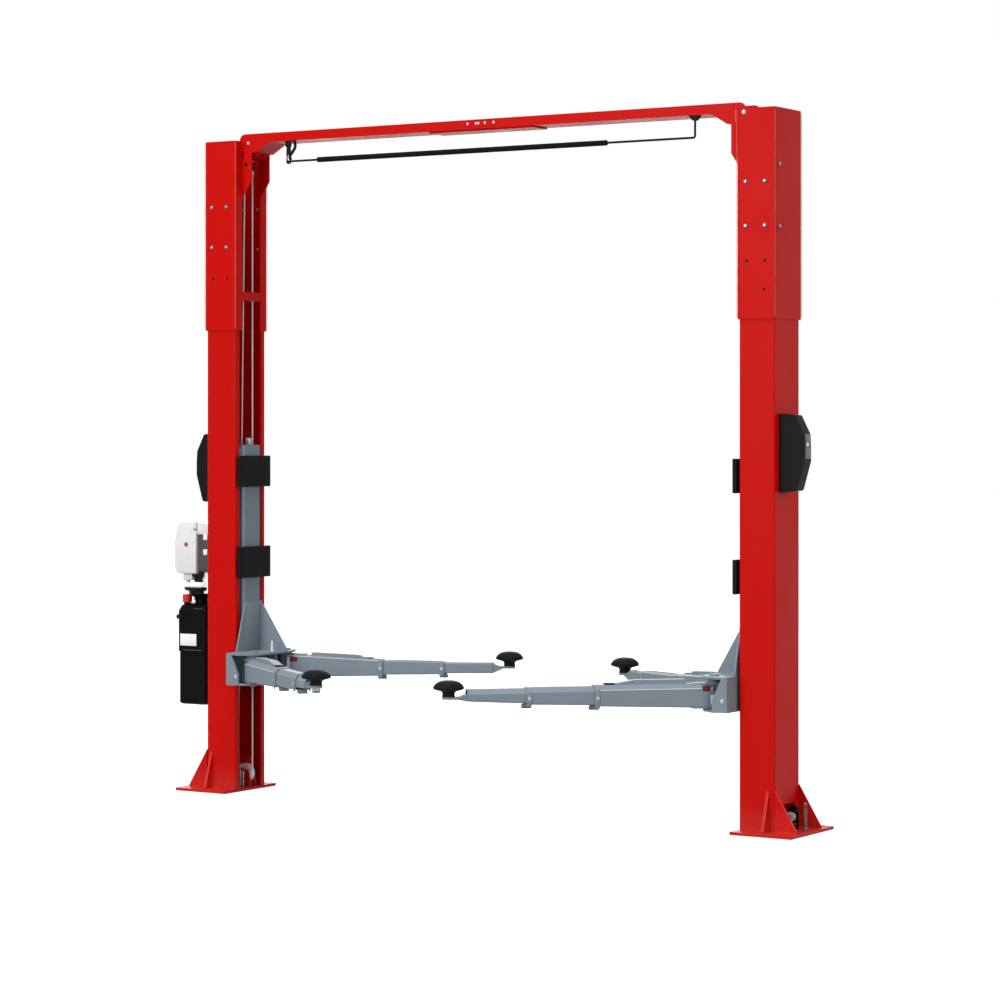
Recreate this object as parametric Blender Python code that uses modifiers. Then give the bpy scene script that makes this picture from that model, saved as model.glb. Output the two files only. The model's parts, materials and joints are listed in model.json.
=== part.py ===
import math

import bmesh
import bpy
from mathutils import Matrix, Vector

# Sizes are in metres. The origin lies on the ground under the middle of the column that carries the power
# unit, X runs from there to the other column, Y away from the front and Z up.
# Each side of the lift is drawn in its own frame: X from the column's middle to the middle of the bay.

column_spacing = 3.376
seat_gap = 0.0003        # between pieces that touch
running_gap = 0.0005     # round a pin, a screw or a sliding tube
weld = 0.002             # how far welded pieces reach into each other

# Base plates
base_thickness = 0.016
base_half_width = 0.240
base_reach_in = 0.101
base_reach_out = 0.244
gusset_thickness = 0.010
gusset_top = 0.230
gusset_foot_out = 0.225
fin_foot = 0.205
fin_inset = 0.060
anchor_hole_radius = 0.011
anchor_hole_inset = 0.042

# Columns
column_depth = 0.200
column_width = 0.280
column_wall = 0.006
column_lip = 0.040
column_top = 2.830
bend_radius = 0.012
window_half_width = 0.085
window_low = 0.035
window_high = 0.145

# Column extensions
extension_wall = 0.008
extension_bottom = 2.588
extension_top = 3.650
strap_low = 2.756
strap_high = 2.807
extension_hole_radius = 0.009
extension_hole_offset = 0.051
extension_hole_height = 2.880

# Overhead beam
beam_half_width = 0.085
beam_wall = 0.006
beam_bottom = 3.637
beam_top = 3.688
beam_end = 0.090
beam_corner = 0.035
haunch_bottom = 3.583
haunch_start = 0.288
haunch_end = 0.198
tail_edge = 0.173
tail_knee = 3.432
tail_tip = 3.327
tail_tip_edge = 0.104
splice_length = 0.660
splice_thickness = 0.008
splice_half_width = 0.070

# Cable and its sheaves
cable_radius = 0.0045
cable_run = 0.088
cable_offset = 0.035
pitch_radius = 0.050
sheave_rim = 0.055
sheave_half_width = 0.016
axle_radius = 0.0125
bottom_sheave_height = 0.090
tongue_half_width = 0.026
tongue_thickness = 0.008
tongue_clearance = 0.002

# Carriages
carriage_face = 0.114
carriage_back = 0.060
carriage_half_width = 0.077
carriage_wall = 0.008
carriage_bottom = 0.720
carriage_top = 1.945
shoe_height = 0.130
shoe_inset = 0.015

# Arm housings
housing_low = 0.609
housing_high = 0.787
housing_plate = 0.011
housing_half_width = 0.243
housing_reach = 0.303
housing_corner = 0.130
brace_reach = 0.301
housing_wall = 0.010
cheek_reach = 0.200
cheek_notch = 0.670
flare_top = 1.067
flare_foot = 0.155
pivot_reach = 0.233
pivot_offset = 0.155
pin_radius = 0.019
pin_head_radius = 0.026
pin_overhang = 0.009
bush_radius = 0.035

# Arms
lug_radius = 0.048
lug_thickness = 0.008
lug_length = 0.120
outer_start = 0.015
arm_width = 0.100
outer_wall = 0.005
middle_grip = 0.170
middle_reach = 0.347
middle_wall = 0.0045
middle_taper = 0.006     # how much narrower the middle stage is at its tip
inner_grip = 0.120
inner_full_reach = 0.306
inner_wall = 0.004
tube_corner = 0.008
shoulder_inset = 0.020
rib_start = 0.150
rib_half_width = 0.024
stop_length = 0.044
stop_ahead = 0.016
stop_drop = 0.014
stop_half_width = 0.022
tongue_plate = 0.012
tongue_plate_top = 0.703
tongue_plate_width = 0.066
pad_from_tip = 0.090
cap_nut_radius = 0.022
cap_nut_height = 0.026

# The two makes of arm: length of the outer tube, how far the tubes' sloped shoulders drop, underside and top
# at the pivot and at the two mouths, the inner stage's underside at its tip, and for the rib on top of the outer
# tube where its level crest ends, where its slope runs out and how high it stands
front_arm = {
    "length": 0.630,
    "drop": 0.025,
    "root": (0.628, 0.752),
    "mouth": (0.646, 0.751),
    "middle_tip": (0.660, 0.7455),
    "inner_tip": 0.680,
    "rib": (0.424, 0.545, 0.022),
}
rear_arm = {
    "length": 0.560,
    "drop": 0.008,
    "root": (0.636, 0.764),
    "mouth": (0.646, 0.738),
    "middle_tip": (0.656, 0.728),
    "inner_tip": 0.664,
    "rib": (0.425, 0.455, 0.016),
}

# Lifting pads
pad_radius = 0.080
pad_top = 0.786
pad_rim_height = 0.750
pad_under = 0.738
pad_neck_radius = 0.031
pad_screw_radius = 0.012
pad_screw_low = 0.689
pad_socket_top = 0.765

# Door bumpers on the carriages
bumper_half_width = 0.143
bumper_thickness = 0.025
bumper_height = 0.175
bumper_lows = {"lower": carriage_bottom + 0.480, "upper": carriage_top - 0.235}

# Lock covers
cover_width = 0.074
cover_reach = 0.143
cover_shoulder = 0.090
cover_edge = 0.006

# Shut-off bar under the beam
bar_height = 3.525
bar_offset = -0.060
bar_radius = 0.006
bar_left = 0.398
bar_right = 2.982
bar_pivot_height = 3.622
foam_radius = 0.015
foam_left = 0.610
foam_right = 2.461
bracket_plate = 0.004
bracket_x = 0.412
bracket_slot_rise = 0.028

# Power unit on the outer face of the first column, each part of it stacked on the one below
tank_bottom = 0.473
tank_shoulder = 1.000
tank_top = tank_shoulder + 0.045
tank_step_drop = 0.230
tank_corner = 0.024
tank_draft = 0.005
filler_height = tank_shoulder + 0.050
filler_neck_radius = 0.020
cap_height = 0.045
knob_drop = 0.035
knob_offset = -0.060
knob_length = 0.026
pump_low = tank_top + 0.055
pump_high = pump_low + 0.125
pump_reach = 0.105
pump_half_width = 0.050
unit_plate = 0.008
unit_half_width = 0.070
unit_low = pump_low - 0.100
unit_high = unit_low + 0.320
motor_high = pump_high + 0.210
motor_reach = 0.104
motor_half_width = 0.085
motor_corner = 0.018
cover_box_low = pump_high - 0.010
cover_box_high = cover_box_low + 0.289
cover_box_reach = 0.153
cover_box_half_width = 0.092
cover_box_corner = 0.022
pump_neck_reach = 0.245
pump_neck_radius = 0.038
pump_flange_radius = 0.070
pump_flange_height = 0.015
tank_reach_in = 0.135
tank_reach_out = 0.345
tank_half_width = 0.100
filler_radius = 0.027
knob_radius = 0.013

red = (0.58, 0.012, 0.008, 1.0)
grey = (0.175, 0.22, 0.255, 1.0)
black = (0.014, 0.014, 0.015, 1.0)
steel = (0.55, 0.55, 0.54, 1.0)
off_white = (0.82, 0.82, 0.80, 1.0)

# Where the arms stand: side of the bay and of the carriage, make, direction in degrees, inner stage's reach
arms = {
    "left_front": {"side": "left", "hand": -1, "make": front_arm, "angle": -37.5, "reach": 0.155},
    "left_rear": {"side": "left", "hand": 1, "make": rear_arm, "angle": 26.5, "reach": 0.276},
    "right_front": {"side": "right", "hand": 1, "make": front_arm, "angle": 43.4, "reach": 0.298},
    "right_rear": {"side": "right", "hand": -1, "make": rear_arm, "angle": -27.6, "reach": 0.128},
}
cap_nut_arms = ("left_front",)

# Where the upright brace of each arm housing stands across the carriage, and how high it goes
braces = {
    "left": {"offset": 0.072, "top": 1.067},
    "right": {"offset": -0.020, "top": 1.110},
}

for old in list(bpy.data.objects):
    bpy.data.objects.remove(old)

lift = bpy.data.collections.new("two_post_lift")
cutters = bpy.data.collections.new("cutters")
bpy.context.scene.collection.children.link(lift)
bpy.context.scene.collection.children.link(cutters)


def shape(name, mesh):
    """An object that holds a mesh while it is being cut and joined."""
    made = bpy.data.objects.new(name, mesh)
    made.hide_render = True
    made.display_type = "WIRE"
    cutters.objects.link(made)
    return made


def from_bmesh(name, form):
    bmesh.ops.recalc_face_normals(form, faces=form.faces)
    mesh = bpy.data.meshes.new(name)
    form.to_mesh(mesh)
    form.free()
    return shape(name, mesh)


def baked(made):
    """Swap an object's modifiers or curve for the mesh that they give."""
    bpy.context.view_layer.update()
    graph = bpy.context.evaluated_depsgraph_get()
    mesh = bpy.data.meshes.new_from_object(made.evaluated_get(graph))
    name = made.name
    bpy.data.objects.remove(made)
    form = bmesh.new()
    form.from_mesh(mesh)
    bmesh.ops.remove_doubles(form, verts=form.verts, dist=0.00002)
    return from_bmesh(name, form)


def combined(base, tools, operation):
    for tool in tools:
        step = base.modifiers.new(operation.lower(), "BOOLEAN")
        step.operation = operation
        step.solver = "EXACT"
        step.object = tool
    result = baked(base)
    for tool in tools:
        bpy.data.objects.remove(tool)
    return result


def joined(base, *tools):
    return combined(base, tools, "UNION")


def cut(base, *tools):
    return combined(base, tools, "DIFFERENCE")


def box(name, low, high):
    form = bmesh.new()
    bmesh.ops.create_cube(form, size=1.0)
    size = Vector(high) - Vector(low)
    middle = (Vector(high) + Vector(low)) / 2
    bmesh.ops.scale(form, vec=size, verts=form.verts)
    bmesh.ops.translate(form, vec=middle, verts=form.verts)
    return from_bmesh(name, form)


def rod(name, start, end, radius, sides=24):
    form = bmesh.new()
    run = Vector(end) - Vector(start)
    turn = run.to_track_quat("Z", "Y").to_matrix().to_4x4()
    place = Matrix.Translation((Vector(start) + Vector(end)) / 2) @ turn
    bmesh.ops.create_cone(form, cap_ends=True, segments=sides, radius1=radius, radius2=radius,
                          depth=run.length, matrix=place)
    return from_bmesh(name, form)


def bevelled(made, width, segments=2):
    edge = made.modifiers.new("edges", "BEVEL")
    edge.width = width
    edge.segments = segments
    edge.limit_method = "ANGLE"
    return baked(made)


def corner(before, point, after, radius, steps=4):
    """Points of the arc that rounds an outline's corner."""
    at = Vector(point)
    back = (Vector(before) - at).normalized()
    on = (Vector(after) - at).normalized()
    half = back.angle(on) / 2
    centre = at + (back + on).normalized() * radius / math.sin(half)
    first = (at + back * radius / math.tan(half) - centre).normalized()
    last = (at + on * radius / math.tan(half) - centre).normalized()
    return [tuple(centre + first.slerp(last, step / steps) * radius) for step in range(steps + 1)]


def rounded(outline, radii, steps=4):
    """An outline with the corners named in radii, by their number, rounded."""
    points = []
    count = len(outline)
    for number, point in enumerate(outline):
        if number in radii:
            before = outline[(number - 1) % count]
            after = outline[(number + 1) % count]
            points += corner(before, point, after, radii[number], steps)
        else:
            points.append(point)
    return points


def circle(middle, radius, sides=20):
    turn = 2 * math.pi / sides
    return [(middle[0] + radius * math.cos(turn * i), middle[1] + radius * math.sin(turn * i))
            for i in range(sides)]


def plate(name, outline, plane, low, high, holes=()):
    """A flat plate: an outline in the XY, XZ or YZ plane, between two places along its normal."""
    curve = bpy.data.curves.new(name, "CURVE")
    curve.dimensions = "2D"
    curve.fill_mode = "BOTH"
    curve.extrude = (high - low) / 2
    for ring in (outline, *holes):
        spline = curve.splines.new("POLY")
        spline.points.add(len(ring) - 1)
        for point, (across, along) in zip(spline.points, ring):
            point.co = (across, along, 0, 1)
        spline.use_cyclic_u = True
    made = baked(shape(name, curve))
    middle = (low + high) / 2
    turns = {
        "XY": Matrix.Translation((0, 0, middle)),
        "XZ": Matrix.Translation((0, middle, 0)) @ Matrix.Rotation(math.pi / 2, 4, "X"),
        "YZ": Matrix.Translation((middle, 0, 0)) @ Matrix(((0, 0, 1, 0), (1, 0, 0, 0), (0, 1, 0, 0), (0, 0, 0, 1))),
    }
    made.data.transform(turns[plane])
    return made


def channel(name, depth, width, wall, lip, low, high):
    """A folded channel, open towards the bay, with a lip along each edge of the opening."""
    x, y = depth / 2, width / 2
    line = [(x, lip - y), (x, -y), (-x, -y), (-x, y), (x, y), (x, y - lip)]
    form = bmesh.new()
    corners = [form.verts.new((*point, low)) for point in line]
    edges = [form.edges.new(pair) for pair in zip(corners, corners[1:])]
    risen = bmesh.ops.extrude_edge_only(form, edges=edges)["geom"]
    tops = [item for item in risen if isinstance(item, bmesh.types.BMVert)]
    bmesh.ops.translate(form, vec=(0, 0, high - low), verts=tops)
    mesh = bpy.data.meshes.new(name)
    form.to_mesh(mesh)
    form.free()
    made = shape(name, mesh)
    bend = made.modifiers.new("bends", "BEVEL")
    bend.width = bend_radius
    bend.segments = 4
    bend.limit_method = "ANGLE"
    sheet = made.modifiers.new("sheet", "SOLIDIFY")
    sheet.thickness = wall
    sheet.offset = -1
    return baked(made)


def turned(name, profile, middle, axis="Z", steps=28):
    """A profile of radius and height pairs, from the top down its outer side, turned about an axis."""
    form = bmesh.new()
    points = [form.verts.new((radius, 0, height)) for radius, height in profile]
    for pair in zip(points, points[1:]):
        form.edges.new(pair)
    if profile[0][0] > 0:
        form.edges.new((points[-1], points[0]))
    mesh = bpy.data.meshes.new(name)
    form.to_mesh(mesh)
    form.free()
    made = shape(name, mesh)
    spin = made.modifiers.new("turn", "SCREW")
    spin.steps = steps
    spin.render_steps = steps
    spin.use_merge_vertices = True
    spin.merge_threshold = 0.00005
    made = baked(made)
    turn = {"Z": Matrix(), "Y": Matrix.Rotation(math.pi / 2, 4, "X")}[axis]
    made.data.transform(Matrix.Translation(middle) @ turn)
    return made


def wire(name, points, radius, closed=False):
    """A round wire or cable along a line of points."""
    curve = bpy.data.curves.new(name, "CURVE")
    curve.dimensions = "3D"
    curve.bevel_depth = radius
    curve.bevel_resolution = 2
    curve.use_fill_caps = True
    spline = curve.splines.new("POLY")
    spline.points.add(len(points) - 1)
    for point, place in zip(spline.points, points):
        point.co = (*place, 1)
    spline.use_cyclic_u = closed
    return baked(shape(name, curve))


def ring(place, width, low, high, radius, axis):
    """A rounded rectangle across X or Z, as corner points in order."""
    half = width / 2
    flat = [(-half, low), (half, low), (half, high), (-half, high)]
    points = rounded(flat, {number: radius for number in range(4)})
    if axis == "X":
        return [(place, across, up) for across, up in points]
    return [(across, up, place) for across, up in points]


def lofted(name, rings, capped):
    """A skin through rings of like points, with its ends closed or left open."""
    form = bmesh.new()
    loops = [[form.verts.new(point) for point in points] for points in rings]
    count = len(loops[0])
    for first, second in zip(loops, loops[1:]):
        for i in range(count):
            j = (i + 1) % count
            form.faces.new((first[i], first[j], second[j], second[i]))
    if capped:
        form.faces.new(loops[0])
        form.faces.new(loops[-1])
    return from_bmesh(name, form)


def shouldered(place, width, low, high, drop):
    """An arm tube's outline across X: a box with both upper edges sloped down to its sides."""
    half = width / 2
    flat = [(-half, low), (half, low), (half, high - drop), (half - shoulder_inset, high),
            (shoulder_inset - half, high), (-half, high - drop)]
    points = rounded(flat, {number: tube_corner for number in (0, 1)})
    return [(place, across, up) for across, up in points]


def tube(name, sections, wall):
    """An arm tube along X through (place, width, low, high, drop) sections, open at both ends."""
    made = lofted(name, [shouldered(*section) for section in sections], capped=False)
    sheet = made.modifiers.new("wall", "SOLIDIFY")
    sheet.thickness = wall
    sheet.offset = -1
    sheet.use_even_offset = True
    return baked(made)


def empty(name, location, turn=0.0, parent=None):
    made = bpy.data.objects.new(name, None)
    lift.objects.link(made)
    made.location = location
    made.rotation_euler = (0, 0, turn)
    made.parent = parent
    return made


def finished(name, made, colour, roughness, metallic=0.0, parent=None, origin=(0, 0, 0)):
    """The piece itself: a copy of the shape in its place, with its own material."""
    mesh = made.data.copy()
    mesh.name = name
    mesh.transform(Matrix.Translation(-Vector(origin)))
    mesh.shade_smooth()
    mesh.set_sharp_from_angle(angle=math.radians(32))
    piece = bpy.data.objects.new(name, mesh)
    lift.objects.link(piece)
    piece.location = origin
    piece.parent = parent
    finish = bpy.data.materials.new(name)
    finish.use_nodes = True
    surface = finish.node_tree.nodes["Principled BSDF"]
    surface.inputs["Base Color"].default_value = colour
    surface.inputs["Roughness"].default_value = roughness
    surface.inputs["Metallic"].default_value = metallic
    mesh.materials.clear()
    mesh.materials.append(finish)
    return piece


def base_shape():
    inset = anchor_hole_inset
    outer = -base_reach_out + inset
    side = base_half_width - inset
    spots = [(outer, -side), (outer, 0), (outer, side), (base_reach_in - inset, -side),
             (base_reach_in - inset, side)]
    outline = [(-base_reach_out, -base_half_width), (base_reach_in, -base_half_width),
               (base_reach_in, base_half_width), (-base_reach_out, base_half_width)]
    holes = [circle(spot, anchor_hole_radius, 16) for spot in spots]
    floor = plate("base", outline, "XY", 0, base_thickness, holes)
    foot = base_thickness - weld
    back = -column_depth / 2 - seat_gap
    side_face = column_width / 2
    pieces = []
    for hand in (-1, 1):
        slope = [(back, foot), (-gusset_foot_out, foot), (-gusset_foot_out, foot + 0.010), (back, gusset_top)]
        inner, outer_face = sorted((hand * (side_face - gusset_thickness), hand * side_face))
        pieces.append(plate("gusset", slope, "XZ", inner, outer_face))
        fin = [(hand * (side_face + seat_gap), foot), (hand * fin_foot, foot), (hand * fin_foot, foot + 0.008),
               (hand * (side_face + seat_gap), gusset_top)]
        pieces.append(plate("fin", fin, "YZ", -fin_inset - gusset_thickness, -fin_inset))
        near = cable_offset + hand * (sheave_half_width + tongue_clearance)
        far = near + hand * tongue_thickness
        middle = cable_run - pitch_radius
        top = bottom_sheave_height + tongue_half_width
        tongue = [(middle - tongue_half_width, foot), (middle + tongue_half_width, foot),
                  (middle + tongue_half_width, top), (middle - tongue_half_width, top)]
        tongue = rounded(tongue, {2: tongue_half_width * 0.9, 3: tongue_half_width * 0.9})
        pieces.append(plate("tongue", tongue, "XZ", min(near, far), max(near, far)))
    reach = sheave_half_width + tongue_clearance + tongue_thickness + 0.004
    middle = Vector((cable_run - pitch_radius, cable_offset, bottom_sheave_height))
    pieces.append(rod("axle", middle - Vector((0, reach, 0)), middle + Vector((0, reach, 0)), axle_radius))
    return joined(floor, *pieces)


def column_shape():
    body = channel("column", column_depth, column_width, column_wall, column_lip,
                   base_thickness + seat_gap, column_top)
    back = -column_depth / 2
    window = box("window", (back - 0.02, -window_half_width, window_low),
                 (back + 0.02, window_half_width, window_high))
    return cut(body, window)


def extension_shape():
    grown = 2 * (seat_gap + extension_wall)
    width = column_width + grown
    lip = width / 2 - beam_half_width - seat_gap
    body = channel("extension", column_depth + grown, width, extension_wall, lip,
                   extension_bottom, extension_top)
    face = column_depth / 2 + seat_gap
    reach = beam_half_width + 0.020
    strap = box("strap", (face + 0.0005, -reach, strap_low), (face + extension_wall - 0.0005, reach, strap_high))
    holes = []
    for place in (-extension_hole_offset, extension_hole_offset):
        for hand in (-1, 1):
            wall = hand * width / 2
            holes.append(rod("hole", (place, wall - 0.02, extension_hole_height),
                             (place, wall + 0.02, extension_hole_height), extension_hole_radius, 16))
    return cut(joined(body, strap), *holes)


def beam_shape():
    middle = column_spacing / 2 - seat_gap / 2
    side = [(middle, beam_bottom), (middle, beam_top), (beam_end, beam_top),
            (beam_end, tail_tip + 0.030), (tail_tip_edge, tail_tip), (tail_edge, tail_knee),
            (tail_edge, haunch_bottom), (haunch_end, haunch_bottom), (haunch_start, beam_bottom)]
    side = rounded(side, {2: beam_corner})
    inner = beam_half_width - beam_wall
    front = plate("beam", side, "XZ", -beam_half_width, -inner)
    rear = plate("beam_rear", side, "XZ", inner, beam_half_width)
    floor = [(middle, beam_bottom), (middle, beam_bottom + beam_wall),
             (haunch_start - 0.001, beam_bottom + beam_wall), (haunch_end - 0.003, haunch_bottom + beam_wall),
             (haunch_end, haunch_bottom), (haunch_start, beam_bottom)]
    soffit = plate("soffit", floor, "XZ", -inner - weld, inner + weld)
    centre = top_sheave_centre()
    axle = rod("axle", centre - Vector((0, inner + weld, 0)), centre + Vector((0, inner + weld, 0)), axle_radius)
    return joined(front, rear, soffit, axle)


def top_sheave_centre():
    return Vector((cable_run + pitch_radius, 0, beam_bottom + beam_wall + 0.003 + cable_radius - pitch_radius))


def sheave_shape():
    root = pitch_radius - cable_radius - running_gap
    half = sheave_half_width
    bore = axle_radius + running_gap
    profile = [(bore, half), (sheave_rim, half), (sheave_rim, half - 0.005), (root, cable_radius - 0.0005),
               (root, 0.0005 - cable_radius), (sheave_rim, 0.005 - half), (sheave_rim, -half), (bore, -half)]
    return turned("sheave", profile, (0, 0, 0), "Y")


def cable_shape():
    """One closed run: down each column, round its bottom sheave, up again and across inside the beam."""
    top = top_sheave_centre()
    low = Vector((cable_run - pitch_radius, 0, bottom_sheave_height))
    half = []

    def arc(centre, y, first, last, steps):
        for step in range(steps + 1):
            angle = math.radians(first + (last - first) * step / steps)
            half.append(Vector((centre.x + pitch_radius * math.cos(angle), y,
                                centre.z + pitch_radius * math.sin(angle))))

    arc(top, cable_offset, 90, 180, 7)
    half.append(Vector((cable_run, cable_offset, (top.z + low.z) / 2)))
    arc(low, cable_offset, 0, -180, 14)
    arc(top, -cable_offset, 180, 90, 7)
    other = [Vector((column_spacing - point.x, -point.y, point.z)) for point in half]
    return wire("cable", [tuple(point) for point in half + other], cable_radius, closed=True)


def carriage_shape():
    y = carriage_half_width
    wall = carriage_wall
    post = plate("post", rounded([(-carriage_back, -y), (carriage_face, -y), (carriage_face, y),
                                  (-carriage_back, y)], {0: 0.010, 1: 0.010, 2: 0.010, 3: 0.010}),
                 "XY", carriage_bottom, carriage_top,
                 [[(-carriage_back + wall, -y + wall), (carriage_face - wall, -y + wall),
                   (carriage_face - wall, y - wall), (-carriage_back + wall, y - wall)]])
    reach = column_width / 2 - column_wall - seat_gap
    front = column_depth / 2 - column_wall - seat_gap
    bend = bend_radius
    shoes = []
    for low in (carriage_bottom + shoe_inset, carriage_top - shoe_inset - shoe_height):
        for hand in (-1, 1):
            outline = [(-front, hand * (y - weld)), (front, hand * (y - weld)), (front, hand * (reach - bend)),
                       (front - bend, hand * reach), (-front + bend, hand * reach), (-front, hand * (reach - bend))]
            shoes.append(plate("shoe", outline, "XY", low, low + shoe_height))
    return joined(post, *shoes)


def housing_shape(brace):
    """The arm housing, with its upright brace at a place across the carriage."""
    back = carriage_face + seat_gap
    side = housing_half_width
    outline = [(back, -side), (housing_reach, -side), (housing_reach, side), (back, side)]
    outline = rounded(outline, {1: housing_corner, 2: housing_corner}, 8)
    top = plate("housing", outline, "XY", housing_high - housing_plate, housing_high)
    floor = plate("floor", outline, "XY", housing_low, housing_low + housing_plate)
    low = housing_low + weld
    high = housing_high - weld
    pieces = [floor, box("back", (back, -side, low), (back + housing_wall, side, high))]
    reach = housing_reach - 0.020
    pieces.append(box("web", (back + weld, -housing_wall / 2, low), (reach, housing_wall / 2, high)))
    for hand in (-1, 1):
        cheek = [(back + weld, low), (cheek_reach, low), (cheek_reach, cheek_notch), (back + 0.030, high),
                 (back + weld, high)]
        inner, outer = sorted((hand * (side - housing_wall), hand * side))
        pieces.append(plate("cheek", cheek, "XZ", inner, outer))
        root = hand * (carriage_half_width - weld)
        tip = hand * flare_foot
        flare = [(root, high), (tip, high), (tip, housing_high + 0.010), (root, flare_top)]
        pieces.append(plate("flare", flare, "YZ", back, back + housing_wall))
        spot = Vector((pivot_reach, hand * pivot_offset, 0))
        pieces.append(rod("pin", spot + Vector((0, 0, housing_low - pin_overhang)),
                          spot + Vector((0, 0, housing_high + 0.001)), pin_radius))
        pieces.append(rod("head", spot + Vector((0, 0, housing_high - weld)),
                          spot + Vector((0, 0, housing_high + pin_overhang)), pin_head_radius))
    upright = [(back, high), (brace_reach, high), (brace_reach, housing_high + 0.012),
               (back + 0.004, brace["top"]), (back, brace["top"])]
    pieces.append(plate("brace", upright, "XZ", brace["offset"] - housing_wall / 2, brace["offset"] + housing_wall / 2))
    return joined(top, *pieces)


def outer_level(make, place):
    """Underside and top of an outer tube at a place along it."""
    share = (place - outer_start) / (make["length"] - outer_start)
    return [first + (last - first) * share for first, last in zip(make["root"], make["mouth"])]


def outer_shape(make):
    length = make["length"]
    drop = make["drop"]
    sections = [(outer_start, arm_width, *make["root"], drop), (length, arm_width, *make["mouth"], drop)]
    body = tube("outer", sections, outer_wall)
    pieces = []
    low, high = make["root"]
    for under, inset in ((low - weld, 0), (high + weld - lug_thickness, shoulder_inset)):
        turns = [math.pi / 2 + math.pi * step / 12 for step in range(13)]
        nose = [(lug_radius * math.cos(turn), lug_radius * math.sin(turn)) for turn in turns]
        lug = nose + [(lug_length, inset - lug_radius), (lug_length, lug_radius - inset)]
        pieces.append(plate("lug", lug, "XY", under, under + lug_thickness))
    crest_end, rib_end, rib_height = make["rib"]
    start, crest, end = (outer_level(make, place)[1] for place in (rib_start, crest_end, rib_end))
    rib = [(rib_start, start - weld), (rib_end, end - weld), (rib_end, end + 0.001), (crest_end, crest + rib_height),
           (rib_start + 0.005, start + rib_height)]
    pieces.append(plate("rib", rib, "XZ", -rib_half_width, rib_half_width))
    low = housing_low + housing_plate + seat_gap
    high = housing_high - housing_plate - seat_gap
    pieces.append(rod("bush", (0, 0, low), (0, 0, high), bush_radius))
    pieces.append(stop_shape(length, make["mouth"][0], outer_wall))
    bore = rod("bore", (0, 0, low - 0.01), (0, 0, high + 0.01), pin_radius + running_gap)
    return cut(joined(body, *pieces), bore)


def stop_shape(mouth, under, wall):
    """The bracket that hangs under a tube's mouth and stops the stage inside it."""
    start = mouth + stop_ahead - stop_length
    profile = [(start, under - stop_drop), (mouth + stop_ahead, under - stop_drop),
               (mouth + stop_ahead, under - 0.002), (mouth - 0.002, under + wall - 0.001),
               (start, under + wall - 0.001)]
    return plate("stop", profile, "XZ", -stop_half_width, stop_half_width)


def middle_section(make):
    """Width, underside, top and shoulder drop of the middle tube where the outer one holds it."""
    trim = outer_wall + running_gap
    low, high = make["mouth"]
    return arm_width - 2 * trim, low + trim, high - trim, make["drop"]


def middle_shape(make):
    length = make["length"]
    grip = middle_section(make)
    tip = (grip[0] - middle_taper, *make["middle_tip"], make["drop"])
    sections = [(length - middle_grip, *grip), (length, *grip), (length + middle_reach, *tip)]
    body = tube("middle", sections, middle_wall)
    return joined(body, stop_shape(length + middle_reach, tip[1], middle_wall))


def inner_shape(make, cap_nut):
    """The inner stage, drawn from the middle tube's tip outwards at its full reach."""
    trim = middle_wall + running_gap
    low, high = make["middle_tip"]
    drop = make["drop"]
    width = middle_section(make)[0] - middle_taper - 2 * trim
    low, high = low + trim, high - trim
    tip = inner_full_reach
    under = make["inner_tip"]
    body = tube("inner", [(-inner_grip, width, low, high, drop), (0, width, low, high, drop),
                          (tip, width - 0.002, under, high, drop)], inner_wall)
    pad_x = tip + pad_from_tip
    radius = tongue_plate_width / 2
    half = radius - inner_wall - 0.001
    turns = [math.pi * step / 12 for step in range(13)]
    nose = [(pad_x + radius * math.sin(turn), -radius * math.cos(turn)) for turn in turns]
    neck = [(tip + 0.030, half), (tip - 0.080, half), (tip - 0.080, -half), (tip + 0.030, -half)]
    top = tongue_plate_top - seat_gap
    tongue = plate("tongue", nose + neck, "XY", top - tongue_plate, top)
    web = [(tip - 0.070, under + 0.001), (tip, under + 0.001), (pad_x - pad_neck_radius, top - tongue_plate + 0.001),
           (tip + 0.001, high - drop), (tip - 0.070, high - drop)]
    pieces = [tongue, plate("web", web, "XZ", -half - 0.002, half + 0.002)]
    if cap_nut:
        low = top - tongue_plate - cap_nut_height
        pieces.append(rod("nut", (pad_x, 0, low), (pad_x, 0, top - tongue_plate + 0.001), cap_nut_radius, 6))
    bore = rod("bore", (pad_x, 0, pad_screw_low - 0.002), (pad_x, 0, 0.8), pad_screw_radius + running_gap)
    return cut(joined(body, *pieces), bore)


def pad_shape():
    under = tongue_plate_top
    profile = [(0, pad_top), (pad_radius * 0.45, pad_top - 0.005), (pad_radius * 0.8, pad_rim_height + 0.019),
               (pad_radius, pad_rim_height), (pad_radius - 0.006, pad_under + 0.002),
               (pad_neck_radius + 0.010, pad_under - 0.006), (pad_neck_radius, pad_under - 0.016),
               (pad_neck_radius + 0.002, under), (pad_screw_radius + seat_gap, under),
               (pad_screw_radius + seat_gap, pad_socket_top), (0, pad_socket_top)]
    return turned("pad", profile, (0, 0, 0), "Z", 28)


def cover_shape():
    back = -column_depth / 2 - seat_gap
    out = back - cover_reach
    shoulder = back - cover_shoulder
    profile = [(back, 0.197), (shoulder, 0.190), (out + 0.004, 0.095), (out, 0.030), (out, -0.040),
               (out + 0.043, -0.190), (back, -0.200)]
    body = plate("cover", rounded(profile, {1: 0.015, 5: 0.015}), "XZ", -cover_width / 2, cover_width / 2)
    return bevelled(body, cover_edge)


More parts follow.
